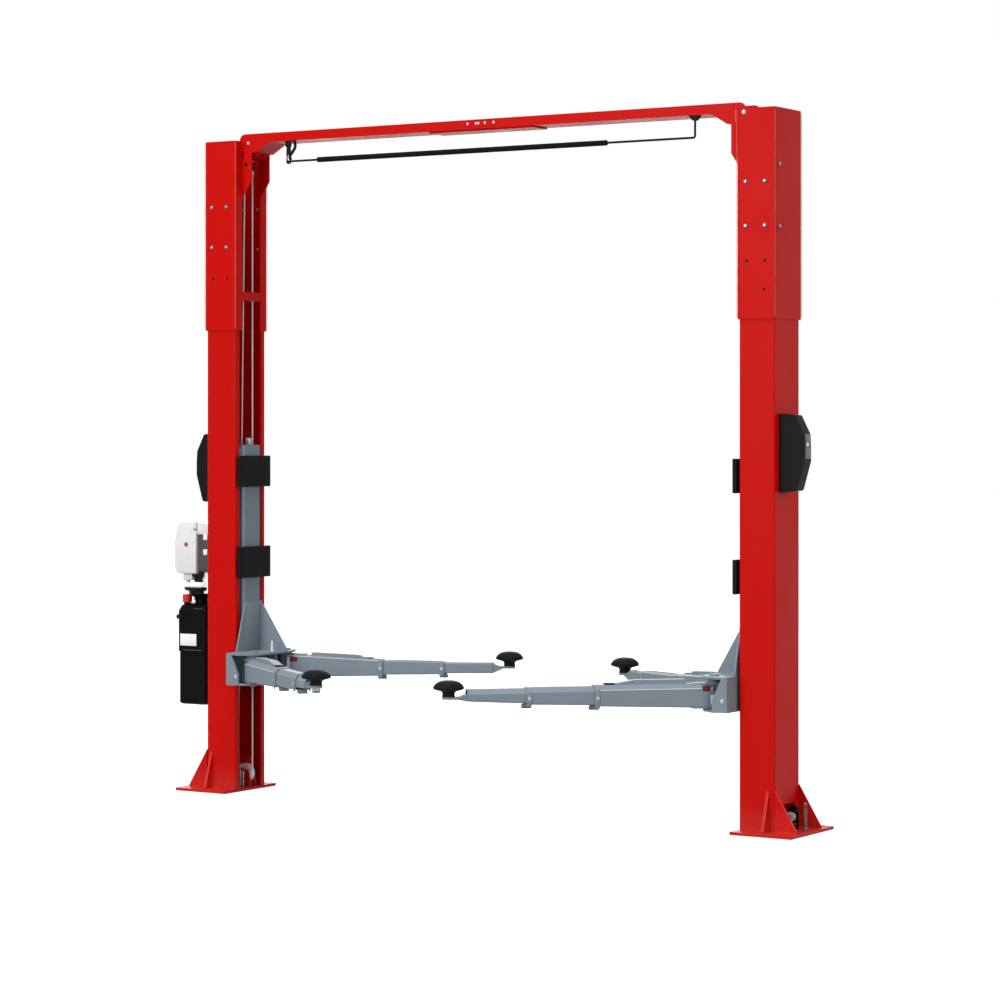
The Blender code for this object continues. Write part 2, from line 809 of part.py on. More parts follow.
def bar_shape():
    """The rod under the beam with its upright end and the eye that it hangs by."""
    path = [(bar_left, bar_offset, bar_height), (bar_right - 0.012, bar_offset, bar_height)]
    for step in range(1, 5):
        angle = math.radians(90 * step / 5)
        path.append((bar_right - 0.012 + 0.012 * math.sin(angle), bar_offset,
                     bar_height + 0.012 - 0.012 * math.cos(angle)))
    path += [(bar_right, bar_offset, bar_height + 0.012), (bar_right, bar_offset, bar_pivot_height)]
    wire_part = wire("bar", path, bar_radius)
    eye = rod("eye", (bar_right, bar_offset - 0.007, bar_pivot_height),
              (bar_right, bar_offset + 0.007, bar_pivot_height), 0.010, 20)
    bore = rod("bore", (bar_right, bar_offset - 0.02, bar_pivot_height),
               (bar_right, bar_offset + 0.02, bar_pivot_height), 0.003 + running_gap, 16)
    return cut(joined(wire_part, eye), bore)


def hanger_shape():
    """The clevis under the beam that the rod swings on."""
    top = beam_bottom - seat_gap
    pieces = []
    ear_low = bar_pivot_height - 0.010
    ear = [(bar_right - 0.028, top - 0.002), (bar_right + 0.028, top - 0.002), (bar_right + 0.011, ear_low),
           (bar_right - 0.011, ear_low)]
    for hand in (-1, 1):
        inner, outer = sorted((bar_offset + hand * 0.008, bar_offset + hand * 0.012))
        pieces.append(plate("ear", ear, "XZ", inner, outer))
    pieces.append(rod("pin", (bar_right, bar_offset - 0.014, bar_pivot_height),
                      (bar_right, bar_offset + 0.014, bar_pivot_height), 0.003, 16))
    flat = box("hanger", (bar_right - 0.030, bar_offset - 0.016, top - 0.004),
               (bar_right + 0.030, bar_offset + 0.016, top))
    return joined(flat, *pieces)


def bracket_shape():
    """The slotted loop that the rod's free end lies in."""
    top = beam_bottom - seat_gap
    y = bar_offset
    low = bar_height - bar_radius - seat_gap
    slot_top = bar_height + bar_radius + bracket_slot_rise
    side = bar_radius + 0.006
    outline = [(y - 0.016, top), (y - 0.020, slot_top + 0.010), (y - side - 0.006, low - 0.008),
               (y + side + 0.006, low - 0.008), (y + 0.020, slot_top + 0.010), (y + 0.016, top)]
    slot = [(y - side, low), (y + side, low), (y + side, slot_top), (y - side, slot_top)]
    slot = rounded(slot, {2: 0.008, 3: 0.008})
    loop = plate("bracket", rounded(outline, {2: 0.006, 3: 0.006}), "YZ", bracket_x - bracket_plate / 2,
                 bracket_x + bracket_plate / 2, [slot])
    foot = box("foot", (bracket_x - 0.020, y - 0.016, top - 0.004), (bracket_x + 0.020, y + 0.016, top))
    return joined(loop, foot)


def foam_shape():
    outside = rod("foam", (foam_left, bar_offset, bar_height), (foam_right, bar_offset, bar_height),
                  foam_radius, 20)
    bore = rod("bore", (foam_left - 0.01, bar_offset, bar_height), (foam_right + 0.01, bar_offset, bar_height),
               bar_radius + seat_gap, 16)
    return cut(outside, bore)


def tank_shape():
    def level(height, grow):
        middle = -(tank_reach_in + tank_reach_out) / 2
        width = tank_reach_out - tank_reach_in + 2 * grow
        points = ring(height, width, -tank_half_width - grow, tank_half_width + grow, tank_corner, "Z")
        return [(x + middle, y, z) for x, y, z in points]

    step = tank_shoulder - tank_step_drop
    rings = [level(tank_bottom, -tank_draft - 0.009), level(tank_bottom + 0.008, -tank_draft),
             level(step, -tank_draft), level(step + 0.003, 0), level(tank_shoulder, 0),
             level(tank_shoulder + 0.030, -0.012), level(tank_top, -0.030)]
    body = lofted("tank_body", rings, capped=True)
    filler = rod("filler", (*filler_spot(), tank_shoulder), (*filler_spot(), filler_height), filler_neck_radius, 20)
    neck = (-pump_neck_reach, 0)
    collar = rod("collar", (*neck, tank_top - 0.010), (*neck, pump_low - seat_gap), pump_neck_radius)
    knob_height = tank_shoulder - knob_drop
    knob = rod("knob", (-tank_reach_out + 0.01, knob_offset, knob_height),
               (-tank_reach_out - knob_length, knob_offset, knob_height), knob_radius, 16)
    return joined(body, filler, collar, knob)


def filler_spot():
    return (-tank_reach_out + 0.040, -tank_half_width + 0.045)


def power_unit(parent):
    back = -column_depth / 2 - seat_gap
    face = back - unit_plate
    carrier = box("carrier", (face, -unit_half_width, unit_low), (back, unit_half_width, unit_high))
    finished("unit_plate", bevelled(carrier, 0.002, 1), red, 0.35, 0.0, parent)
    front = face - seat_gap
    pump = box("pump", (front - pump_reach, -pump_half_width, pump_low),
               (front, pump_half_width, pump_high - seat_gap))
    flange = plate("flange", circle((-pump_neck_reach, 0), pump_flange_radius, 28), "XY", pump_low,
                   pump_low + pump_flange_height)
    finished("pump_block", joined(bevelled(pump, 0.004), flange), steel, 0.4, 1.0, parent)
    motor = box("motor_block", (front - motor_reach, -motor_half_width, pump_high),
                (front, motor_half_width, motor_high))
    finished("motor", bevelled(motor, motor_corner, 3), (0.05, 0.05, 0.052, 1.0), 0.5, 0.0, parent)
    motor_face = front - motor_reach - seat_gap
    cover = box("cover", (motor_face - cover_box_reach, -cover_box_half_width, cover_box_low),
                (motor_face, cover_box_half_width, cover_box_high))
    finished("motor_cover", bevelled(cover, cover_box_corner, 4), off_white, 0.3, 0.0, parent)
    finished("tank", tank_shape(), black, 0.35, 0.0, parent)
    base = filler_height + seat_gap
    profile = [(0, cap_height), (filler_radius - 0.003, cap_height), (filler_radius, cap_height - 0.003),
               (filler_radius, 0), (0, 0)]
    cap = turned("cap", profile, (*filler_spot(), base), "Z", 24)
    finished("filler_cap", cap, (0.55, 0.02, 0.03, 1.0), 0.4, 0.0, parent)


def build():
    sides = {
        "left": empty("left_side", (0, 0, 0)),
        "right": empty("right_side", (column_spacing, 0, 0), math.pi),
    }
    cover_places = {"left": (-0.013, 1.815), "right": (0.052, 1.915)}
    base = base_shape()
    column = column_shape()
    extension = extension_shape()
    beam = beam_shape()
    sheave = sheave_shape()
    carriage = carriage_shape()
    housings = {name: housing_shape(brace) for name, brace in braces.items()}
    cover = cover_shape()
    for name, side in sides.items():
        finished("base_" + name, base, red, 0.35, 0.0, side)
        finished("column_" + name, column, red, 0.35, 0.0, side)
        finished("extension_" + name, extension, red, 0.35, 0.0, side)
        finished("beam_" + name, beam, red, 0.35, 0.0, side)
        shell = finished("lock_cover_" + name, cover, black, 0.5, 0.0, side)
        shell.location = (0, *cover_places[name])
        spots = {
            "bottom_sheave_": (cable_run - pitch_radius, cable_offset, bottom_sheave_height),
            "top_sheave_down_": (*top_sheave_centre().xy[:1], cable_offset, top_sheave_centre().z),
            "top_sheave_up_": (*top_sheave_centre().xy[:1], -cable_offset, top_sheave_centre().z),
        }
        for label, spot in spots.items():
            wheel = finished(label + name, sheave, steel, 0.45, 1.0, side)
            wheel.location = spot
        finished("carriage_" + name, carriage, grey, 0.45, 0.2, side)
        finished("arm_housing_" + name, housings[name], grey, 0.45, 0.2, side)
        for level, low in bumper_lows.items():
            face = carriage_face + seat_gap
            bumper = box("bumper", (face, -bumper_half_width, low),
                         (face + bumper_thickness, bumper_half_width, low + bumper_height))
            finished("door_bumper_" + level + "_" + name, bevelled(bumper, 0.004), black, 0.7, 0.0, side)
    pad = pad_shape()
    screw = rod("screw", (0, 0, pad_screw_low), (0, 0, pad_socket_top - 0.001), pad_screw_radius)
    for name, arm in arms.items():
        spot = (pivot_reach, arm["hand"] * pivot_offset, 0)
        pivot = empty(name + "_pivot", spot, math.radians(arm["angle"]), sides[arm["side"]])
        make = arm["make"]
        finished("arm_outer_" + name, outer_shape(make), grey, 0.45, 0.2, pivot)
        finished("arm_middle_" + name, middle_shape(make), grey, 0.45, 0.2, pivot)
        reach = make["length"] + middle_reach - inner_full_reach + arm["reach"]
        stage = finished("arm_inner_" + name, inner_shape(make, name in cap_nut_arms), grey, 0.45, 0.2, pivot)
        stage.location = (reach, 0, 0)
        pad_x = reach + inner_full_reach + pad_from_tip
        stem = finished("pad_screw_" + name, screw, steel, 0.35, 1.0, pivot)
        stem.location = (pad_x, 0, 0)
        rubber = finished("lift_pad_" + name, pad, black, 0.75, 0.0, pivot)
        rubber.location = (pad_x, 0, 0)
    finished("equalising_cable", cable_shape(), steel, 0.4, 1.0)
    middle = column_spacing / 2
    top = beam_bottom - seat_gap
    splice = box("splice", (middle - splice_length / 2, -splice_half_width, top - splice_thickness),
                 (middle + splice_length / 2, splice_half_width, top))
    finished("beam_splice", splice, red, 0.35)
    pivot_spot = (bar_right, bar_offset, bar_pivot_height)
    finished("shutoff_rod", bar_shape(), black, 0.4, 0.0, None, pivot_spot)
    finished("shutoff_foam", foam_shape(), black, 0.9)
    finished("bar_hanger", hanger_shape(), black, 0.4)
    finished("bar_bracket", bracket_shape(), black, 0.4)
    power_unit(sides["left"])
    for used in list(cutters.objects):
        bpy.data.objects.remove(used)


build()
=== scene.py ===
import json
import math

import bmesh
import bpy
from mathutils import Matrix, Vector


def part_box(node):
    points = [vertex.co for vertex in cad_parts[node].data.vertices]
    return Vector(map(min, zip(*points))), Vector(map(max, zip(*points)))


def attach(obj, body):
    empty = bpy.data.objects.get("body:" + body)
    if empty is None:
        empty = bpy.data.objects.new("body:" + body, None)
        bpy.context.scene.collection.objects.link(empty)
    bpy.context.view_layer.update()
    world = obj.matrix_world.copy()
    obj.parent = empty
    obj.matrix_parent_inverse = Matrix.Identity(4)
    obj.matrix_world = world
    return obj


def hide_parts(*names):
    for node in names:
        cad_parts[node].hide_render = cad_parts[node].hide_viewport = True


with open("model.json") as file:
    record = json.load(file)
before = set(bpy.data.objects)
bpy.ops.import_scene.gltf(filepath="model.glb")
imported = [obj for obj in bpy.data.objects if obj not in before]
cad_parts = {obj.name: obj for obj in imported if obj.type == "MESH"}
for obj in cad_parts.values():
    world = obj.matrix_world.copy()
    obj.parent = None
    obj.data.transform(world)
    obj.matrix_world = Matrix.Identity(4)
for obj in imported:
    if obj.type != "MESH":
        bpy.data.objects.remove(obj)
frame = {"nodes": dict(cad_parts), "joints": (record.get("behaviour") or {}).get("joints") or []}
nodes = frame["nodes"]
joints = {joint["name"]: joint for joint in frame["joints"]}
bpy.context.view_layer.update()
columnSpacing = 3.376    # from one column's middle to the other's
print("frame loaded:", len(nodes), "solids")


# Camera: level, a little above head height, with a long lens, from the front right

cameraValues = {"place": (10.373, -13.655, 2.035), "turn": 32.228, "lens": 108.7, "shiftY": -0.07102}


def makeCamera(values):
    lens = bpy.data.cameras.new("camera")
    lens.lens = values["lens"]
    lens.sensor_width = 36
    lens.shift_y = values["shiftY"]
    lens.clip_end = 200
    camera = bpy.data.objects.new("camera", lens)
    bpy.context.scene.collection.objects.link(camera)
    camera.location = values["place"]
    camera.rotation_euler = (math.radians(90), 0, math.radians(values["turn"]))
    bpy.context.scene.camera = camera


makeCamera(cameraValues)


# Materials

def linear(hexCode):
    channels = [int(hexCode[i:i + 2], 16) / 255 for i in (1, 3, 5)]
    return (*[c / 12.92 if c <= 0.04045 else ((c + 0.055) / 1.055) ** 2.4 for c in channels], 1)


def addNode(tree, kind, settings=None, links=None):    # a setting is the node's own, or one of its inputs
    node = tree.nodes.new(kind)
    for key, value in (settings or {}).items():
        if isinstance(key, str) and hasattr(node, key):
            setattr(node, key, value)
        else:
            node.inputs[key].default_value = value
    for key, source in (links or {}).items():
        tree.links.new(source, node.inputs[key])
    return node


def newMaterial(name):
    material = bpy.data.materials.new(name)
    material.use_nodes = True
    tree = material.node_tree
    place = addNode(tree, "ShaderNodeTexCoord").outputs["Object"]
    return material, tree, tree.nodes["Principled BSDF"], place


noiseSpan = (0.3, 0.7)    # nearly all of a noise texture lies between these


def finishSurface(tree, shader, colour, sheen, relief):    # what most finishes end with
    source, near, far, low, high = sheen    # the source's two ends, and the roughness at each of them
    spread = addNode(tree, "ShaderNodeMapRange", {"From Min": near, "From Max": far, "To Min": low,
                                                  "To Max": high}, {"Value": source})
    height, strength, depth = relief
    bump = addNode(tree, "ShaderNodeBump", {"Strength": strength, "Distance": depth}, {"Height": height})
    tree.links.new(colour, shader.inputs["Base Color"])
    tree.links.new(spread.outputs[0], shader.inputs["Roughness"])
    tree.links.new(bump.outputs[0], shader.inputs["Normal"])


# Steel sheet, sprayed with powder and baked: a hard red skin with a faint orange peel, drawn coarser than the
# real one so that it shows, and paler near the floor, where dust clings
powderCoatValues = {
    "main": "#C40B05", "deep": "#B90903", "dust": "#B5574C", "patchMm": 400, "dustMm": 1000 / 60, "peelMm": 9,
    "peel": 0.00012, "roughness": 0.35, "gloss": 0.07, "dustTop": 0.16, "dustMost": 0.45,
}


def powderCoat(name, values):
    material, tree, shader, place = newMaterial(name)
    patch = addNode(tree, "ShaderNodeTexNoise", {"Scale": 1000 / values["patchMm"], "Detail": 3.0},
                    {"Vector": place})
    tone = addNode(tree, "ShaderNodeMix", {"data_type": "RGBA", 6: linear(values["main"]),
                                           7: linear(values["deep"])}, {0: patch.outputs[0]})
    height = addNode(tree, "ShaderNodeSeparateXYZ", None, {0: place})
    low = addNode(tree, "ShaderNodeMapRange", {"From Min": values["dustTop"], "From Max": 0.0,
                                               "To Max": values["dustMost"]}, {"Value": height.outputs["Z"]})
    specks = addNode(tree, "ShaderNodeTexNoise", {"Scale": 1000 / values["dustMm"], "Detail": 5.0},
                     {"Vector": place})
    dust = addNode(tree, "ShaderNodeMath", {"operation": "MULTIPLY"},
                   {0: low.outputs[0], 1: specks.outputs[0]})
    colour = addNode(tree, "ShaderNodeMix", {"data_type": "RGBA", 7: linear(values["dust"])},
                     {0: dust.outputs[0], 6: tone.outputs[2]})
    peel = addNode(tree, "ShaderNodeTexNoise", {"Scale": 1000 / values["peelMm"], "Detail": 1.0},
                   {"Vector": place})
    sheen = (patch.outputs[0], *noiseSpan, values["roughness"] - 0.06, values["roughness"] + 0.08)
    finishSurface(tree, shader, colour.outputs[2], sheen, (peel.outputs[0], 0.6, values["peel"]))
    shader.inputs["Specular IOR Level"].default_value = values["gloss"]
    return material


# Two-part machine enamel on blasted plate: satin blue-grey with fine pale scuffs, and an orange peel that is
# drawn coarser than the real one
enamelValues = {
    "main": "#7D8993", "deep": "#737F89", "scuff": "#98A2AA", "patchMm": 250, "scuffMm": 14, "peelMm": 7,
    "peel": 0.00015, "roughness": 0.56, "gloss": 0.18, "scuffFrom": 0.63, "scuffTo": 0.72, "scuffMost": 0.5,
}


def machineEnamel(name, values):
    material, tree, shader, place = newMaterial(name)
    patch = addNode(tree, "ShaderNodeTexNoise", {"Scale": 1000 / values["patchMm"], "Detail": 4.0},
                    {"Vector": place})
    tone = addNode(tree, "ShaderNodeMix", {"data_type": "RGBA", 6: linear(values["main"]),
                                           7: linear(values["deep"])}, {0: patch.outputs[0]})
    rub = addNode(tree, "ShaderNodeTexNoise", {"Scale": 1000 / values["scuffMm"], "Detail": 8.0,
                                               "Roughness": 0.75}, {"Vector": place})
    worn = addNode(tree, "ShaderNodeMapRange", {"From Min": values["scuffFrom"],
                                                "From Max": values["scuffTo"],
                                                "To Max": values["scuffMost"]}, {"Value": rub.outputs[0]})
    colour = addNode(tree, "ShaderNodeMix", {"data_type": "RGBA", 7: linear(values["scuff"])},
                     {0: worn.outputs[0], 6: tone.outputs[2]})
    peel = addNode(tree, "ShaderNodeTexNoise", {"Scale": 1000 / values["peelMm"], "Detail": 2.0},
                   {"Vector": place})
    sheen = (rub.outputs[0], *noiseSpan, values["roughness"] - 0.08, values["roughness"] + 0.10)
    finishSurface(tree, shader, colour.outputs[2], sheen, (peel.outputs[0], 0.6, values["peel"]))
    shader.inputs["Specular IOR Level"].default_value = values["gloss"]
    return material


# Mouldings, films and smooth paints: one even colour each, the grain of the mould or the brush, drawn coarse
# enough to show, and a little settled dust
mouldedValues = {
    # rubber, pressed in a steel mould: near black and dull
    "mouldedRubber": {"main": "#0D0E0F", "dust": "#1B1B1C", "roughness": 0.62, "gloss": 0.08, "grainMm": 5,
                      "grain": 0.0003, "dustFrom": 0.58},
    # ABS from an etched mould: black with a soft sheen
    "texturedAbs": {"main": "#0C0D0E", "dust": "#151617", "roughness": 0.45, "gloss": 0.08, "grainMm": 4,
                    "grain": 0.0002, "dustFrom": 0.60},
    # polyethylene, blown into a mould: black and waxy, with slow waves in its walls
    "blownPolyethylene": {"main": "#050506", "dust": "#0C0C0D", "roughness": 0.30, "gloss": 0.06,
                          "grainMm": 30, "grain": 0.0004, "dustFrom": 0.62},
    # ABS from a polished mould: clean white with clear highlights
    "whiteAbs": {"main": "#DEDEDD", "dust": "#D2D2D0", "roughness": 0.30, "gloss": 0.35, "grainMm": 6,
                 "grain": 0.0001, "dustFrom": 0.62},
    # nylon, moulded in signal red: bright and half glossy
    "redCapPlastic": {"main": "#C01B28", "dust": "#A81A25", "roughness": 0.36, "gloss": 0.30, "grainMm": 4,
                      "grain": 0.0002, "dustFrom": 0.55},
    # ABS in mid grey: satin, a little dusty
    "greyInsertPlastic": {"main": "#6C6C6E", "dust": "#7A7A7C", "roughness": 0.40, "gloss": 0.30,
                          "grainMm": 4, "grain": 0.0002, "dustFrom": 0.55},
    # polypropylene in dark red: satin, with darker patches
    "darkRedPlastic": {"main": "#7A1517", "dust": "#5E1214", "roughness": 0.40, "gloss": 0.20, "grainMm": 4,
                       "grain": 0.0002, "dustFrom": 0.52},
    # a pale red line of painted highlight, laid on bent corners, cut edges and weld runs
    "paleRedEdge": {"main": "#D85F55", "dust": "#C44A40", "roughness": 0.36, "gloss": 0.20, "grainMm": 5,
                    "grain": 0.0002, "dustFrom": 0.52},
    # vinyl film: flat white, smooth, with nothing printed on it
    "blankLabelVinyl": {"main": "#EFEFEE", "dust": "#E2E2E0", "roughness": 0.30, "gloss": 0.30, "grainMm": 12,
                        "grain": 0.0001, "dustFrom": 0.55},
    # cast nylon, turned to its groove: creamy white with patches of grey dirt
    "castSheaveNylon": {"main": "#F2ECE9", "dust": "#BDB2AE", "roughness": 0.45, "gloss": 0.30, "grainMm": 5,
                        "grain": 0.0003, "dustFrom": 0.48},
    # pale grey: painted highlight along the arms' folds and root edges, painted shade along the hood's seam,
    # and the colour of the carriage lug and the grease post
    "paleEdgePaint": {"main": "#DADFE3", "dust": "#BCC3C9", "roughness": 0.38, "gloss": 0.30, "grainMm": 6,
                      "grain": 0.0002, "dustFrom": 0.55},
    # paint sprayed on cast iron: dark grey over a rough skin; the same grey is painted shade on the
    # extensions' washers and painted highlight on the tank's lines
    "darkMotorPaint": {"main": "#434345", "dust": "#4E4E50", "roughness": 0.45, "gloss": 0.25, "grainMm": 3,
                       "grain": 0.0003, "dustFrom": 0.58},
    # stoved paint on bar and sheet: smooth black
    "blackStovePaint": {"main": "#09090A", "dust": "#141415", "roughness": 0.38, "gloss": 0.10, "grainMm": 6,
                        "grain": 0.0002, "dustFrom": 0.60},
}
dustCloudMm = 1000 / 22    # across one patch of settled dust
dustSpan = 0.2    # how far above its start in the noise the dust is full


def moulded(name, values):
    material, tree, shader, place = newMaterial(name)
    cloud = addNode(tree, "ShaderNodeTexNoise", {"Scale": 1000 / dustCloudMm, "Detail": 6.0,
                                                 "Roughness": 0.6}, {"Vector": place})
    settled = addNode(tree, "ShaderNodeMapRange", {"From Min": values["dustFrom"],
                                                   "From Max": values["dustFrom"] + dustSpan},
                      {"Value": cloud.outputs[0]})
    colour = addNode(tree, "ShaderNodeMix", {"data_type": "RGBA", 6: linear(values["main"]),
                                             7: linear(values["dust"])}, {0: settled.outputs[0]})
    grain = addNode(tree, "ShaderNodeTexNoise", {"Scale": 1000 / values["grainMm"], "Detail": 2.0},
                    {"Vector": place})
    sheen = (cloud.outputs[0], *noiseSpan, values["roughness"] - 0.06, values["roughness"] + 0.10)
    finishSurface(tree, shader, colour.outputs[2], sheen, (grain.outputs[0], 0.5, values["grain"]))
    shader.inputs["Specular IOR Level"].default_value = values["gloss"]
    return material


# Bare metals: a clean tone with a tarnish in patches, duller where it is tarnished
metalValues = {
    # steel, plated with zinc: cool grey glints on heads and nuts
    "zincPlatedSteel": {"main": "#A9ACB0", "tarnish": "#7C7D80", "roughness": 0.42, "grainMm": 4,
                        "grain": 0.0001},
    # steel, turned and oiled: bright with a brown-grey film
    "turnedScrewSteel": {"main": "#C4C4C2", "tarnish": "#7F7D7A", "roughness": 0.30, "grainMm": 3,
                         "grain": 0.0002},
    # aluminium, cast in a die: pale and matt
    "castAluminium": {"main": "#E4E5E6", "tarnish": "#BFC1C3", "roughness": 0.48, "grainMm": 3,
                      "grain": 0.0004},
    # steel that has stood on a workshop's floor: brown and rough
    "weatheredStudSteel": {"main": "#6E5B4D", "tarnish": "#463A32", "roughness": 0.50, "grainMm": 3,
                           "grain": 0.0004},
}
tarnishMm = 1000 / 45    # across one patch of tarnish
tarnishSpan = (0.48, 0.72)    # where it starts in the noise, and where it is full


def bareMetal(name, values):
    material, tree, shader, place = newMaterial(name)
    film = addNode(tree, "ShaderNodeTexNoise", {"Scale": 1000 / tarnishMm, "Detail": 5.0}, {"Vector": place})
    stain = addNode(tree, "ShaderNodeMapRange", {"From Min": tarnishSpan[0], "From Max": tarnishSpan[1]},
                    {"Value": film.outputs[0]})
    colour = addNode(tree, "ShaderNodeMix", {"data_type": "RGBA", 6: linear(values["main"]),
                                             7: linear(values["tarnish"])}, {0: stain.outputs[0]})
    grain = addNode(tree, "ShaderNodeTexNoise", {"Scale": 1000 / values["grainMm"], "Detail": 3.0},
                    {"Vector": place})
    sheen = (stain.outputs[0], 0.0, 1.0, values["roughness"], values["roughness"] + 0.2)
    finishSurface(tree, shader, colour.outputs[2], sheen, (grain.outputs[0], 0.6, values["grain"]))
    shader.inputs["Metallic"].default_value = 1
    return material


# Galvanised wire rope, 9 mm, laid in six strands that cross the rope's line every 10 mm: pale twisted ribs
# with painted shade in grey between them. A wave of scale 1 repeats every 628.3 mm along an axis
ropeValues = {"main": "#E9E6E2", "groove": "#96918C", "strandMm": 10, "waveMm": 628.3, "depth": 0.0012,
              "metallic": 0.6, "roughness": 0.42}


def wireRope(name, values):
    material, tree, shader, place = newMaterial(name)
    strands = addNode(tree, "ShaderNodeTexWave",
                      {"bands_direction": "DIAGONAL", "Distortion": 0.4, "Detail": 2.0,
                       "Scale": values["waveMm"] / values["strandMm"]}, {"Vector": place})
    # the grey between the strands is painted shade
    colour = addNode(tree, "ShaderNodeMix", {"data_type": "RGBA", 6: linear(values["groove"]),
                                             7: linear(values["main"])}, {0: strands.outputs["Fac"]})
    bump = addNode(tree, "ShaderNodeBump", {"Strength": 0.8, "Distance": values["depth"]},
                   {"Height": strands.outputs["Fac"]})
    tree.links.new(colour.outputs[2], shader.inputs["Base Color"])
    tree.links.new(bump.outputs[0], shader.inputs["Normal"])
    shader.inputs["Metallic"].default_value = values["metallic"]
    shader.inputs["Roughness"].default_value = values["roughness"]
    return material


# Closed-cell foam tube, extruded: a matt black skin broken by small cells, drawn coarse enough to show
foamSkinValues = {"main": "#0C0C0D", "cell": "#161617", "cellMm": 6, "depth": 0.0010, "roughness": 0.92,
                  "gloss": 0.08}


def closedCellFoam(name, values):
    material, tree, shader, place = newMaterial(name)
    cells = addNode(tree, "ShaderNodeTexVoronoi", {"Scale": 1000 / values["cellMm"]}, {"Vector": place})
    colour = addNode(tree, "ShaderNodeMix", {"data_type": "RGBA", 6: linear(values["cell"]),
                                             7: linear(values["main"])}, {0: cells.outputs["Distance"]})
    bump = addNode(tree, "ShaderNodeBump", {"Strength": 0.7, "Distance": values["depth"]},
                   {"Height": cells.outputs["Distance"]})
    tree.links.new(colour.outputs[2], shader.inputs["Base Color"])
    tree.links.new(bump.outputs[0], shader.inputs["Normal"])
    shader.inputs["Roughness"].default_value = values["roughness"]
    shader.inputs["Specular IOR Level"].default_value = values["gloss"]
    return material


finishes = {"redPowderCoat": powderCoat("redPowderCoat", powderCoatValues),
            "greyMachineEnamel": machineEnamel("greyMachineEnamel", enamelValues),
            "galvanisedRope": wireRope("galvanisedRope", ropeValues),
            "closedCellFoam": closedCellFoam("closedCellFoam", foamSkinValues)}
for name, values in mouldedValues.items():
    finishes[name] = moulded(name, values)
for name, values in metalValues.items():
    finishes[name] = bareMetal(name, values)

# What each solid of the frame is made of, by the start of its name
nodeFinishes = {
    "base_": "redPowderCoat", "column_": "redPowderCoat", "extension_": "redPowderCoat",
    "beam_": "redPowderCoat", "unit_plate": "redPowderCoat", "lock_cover_": "texturedAbs",
    "carriage_": "greyMachineEnamel", "arm_": "greyMachineEnamel", "door_bumper_": "mouldedRubber",
    "lift_pad_": "mouldedRubber", "pad_screw_": "turnedScrewSteel", "equalising_cable": "galvanisedRope",
    "bottom_sheave_": "castSheaveNylon", "top_sheave_": "redPowderCoat", "shutoff_rod": "blackStovePaint",
    "shutoff_foam": "closedCellFoam", "bar_": "blackStovePaint", "pump_block": "castAluminium",
    "motor_cover": "whiteAbs", "motor": "darkMotorPaint", "tank": "blownPolyethylene",
    "filler_cap": "redCapPlastic",
}

for name, node in nodes.items():
    start = next(start for start in nodeFinishes if name.startswith(start))
    node.data.materials.clear()
    node.data.materials.append(finishes[nodeFinishes[start]])
print("finishes on", len(nodes), "solids")


# Shapes for the small pieces

bevelWays = {"offset_type": "OFFSET", "profile": 0.5, "affect": "EDGES", "material": -1}
upright = Matrix.Rotation(math.pi / 2, 4, "X")    # stands an outline in XY up in XZ
sideMatrices = {"left": Matrix.Identity(4),
                "right": Matrix.Translation((columnSpacing, 0, 0)) @ Matrix.Rotation(math.pi, 4, "Z")}


def makePiece(name, form, finish, body, matrix=None, sharp=35):    # the matrix puts the shape in its place
    if matrix:
        bmesh.ops.transform(form, matrix=matrix, verts=form.verts)
    bmesh.ops.remove_doubles(form, verts=form.verts, dist=0.00001)
    bmesh.ops.recalc_face_normals(form, faces=form.faces)
    mesh = bpy.data.meshes.new(name)
    form.to_mesh(mesh)
    form.free()
    mesh.shade_smooth()
    mesh.set_sharp_from_angle(angle=math.radians(sharp))
    mesh.materials.append(finishes[finish])
    made = bpy.data.objects.new(name, mesh)
    bpy.context.scene.collection.objects.link(made)
    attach(made, body)
    return made


def turnedTo(place, direction):    # the matrix that stands a shape's Z axis along a direction
    return Matrix.Translation(place) @ Vector(direction).to_track_quat("Z", "Y").to_matrix().to_4x4()


def edgesOf(verts):
    return list({edge for vert in verts for edge in vert.link_edges})


def addBlock(form, low, high, edge, segments=2):
    made = bmesh.ops.create_cube(form, size=1)["verts"]
    bmesh.ops.scale(form, vec=Vector(high) - Vector(low), verts=made)
    bmesh.ops.translate(form, vec=(Vector(low) + Vector(high)) / 2, verts=made)
    if edge:
        bmesh.ops.bevel(form, geom=edgesOf(made), offset=edge, segments=segments, **bevelWays)


def addPlate(form, outline, low, high, matrix, edge, segments=2):    # an outline in XY, thickened along Z
    corners = [form.verts.new((*point, low)) for point in outline]
    face = form.faces.new(corners)
    risen = bmesh.ops.extrude_face_region(form, geom=[face])["geom"]
    tops = [item for item in risen if isinstance(item, bmesh.types.BMVert)]
    bmesh.ops.translate(form, vec=(0, 0, high - low), verts=tops)
    made = bmesh.ops.bevel(form, geom=edgesOf(corners + tops), offset=edge, segments=segments, **bevelWays)
    bmesh.ops.transform(form, matrix=matrix, verts=made["verts"])


def addDisc(form, place, direction, radius, depth, sides=24, top=None):
    matrix = turnedTo(Vector(place) + Vector(direction).normalized() * depth / 2, direction)
    bmesh.ops.create_cone(form, cap_ends=True, segments=sides, radius1=radius,
                          radius2=radius if top is None else top, depth=depth, matrix=matrix)


def addStack(form, place, direction, parts):    # discs on one line: rise, depth, radius, top radius, sides
    for rise, depth, radius, top, sides in parts:
        addDisc(form, Vector(place) + Vector(direction) * rise, direction, radius, depth, sides, top)


def addTurned(form, profile, steps, closed=False):    # a profile of radius and height, spun round the Z axis
    points = [form.verts.new((radius, 0, height)) for radius, height in profile]
    ends = points[1:] + points[:1] if closed else points[1:]
    edges = [form.edges.new(pair) for pair in zip(points, ends)]
    bmesh.ops.spin(form, geom=points + edges, cent=(0, 0, 0), axis=(0, 0, 1), angle=2 * math.pi, steps=steps,
                   use_merge=True)


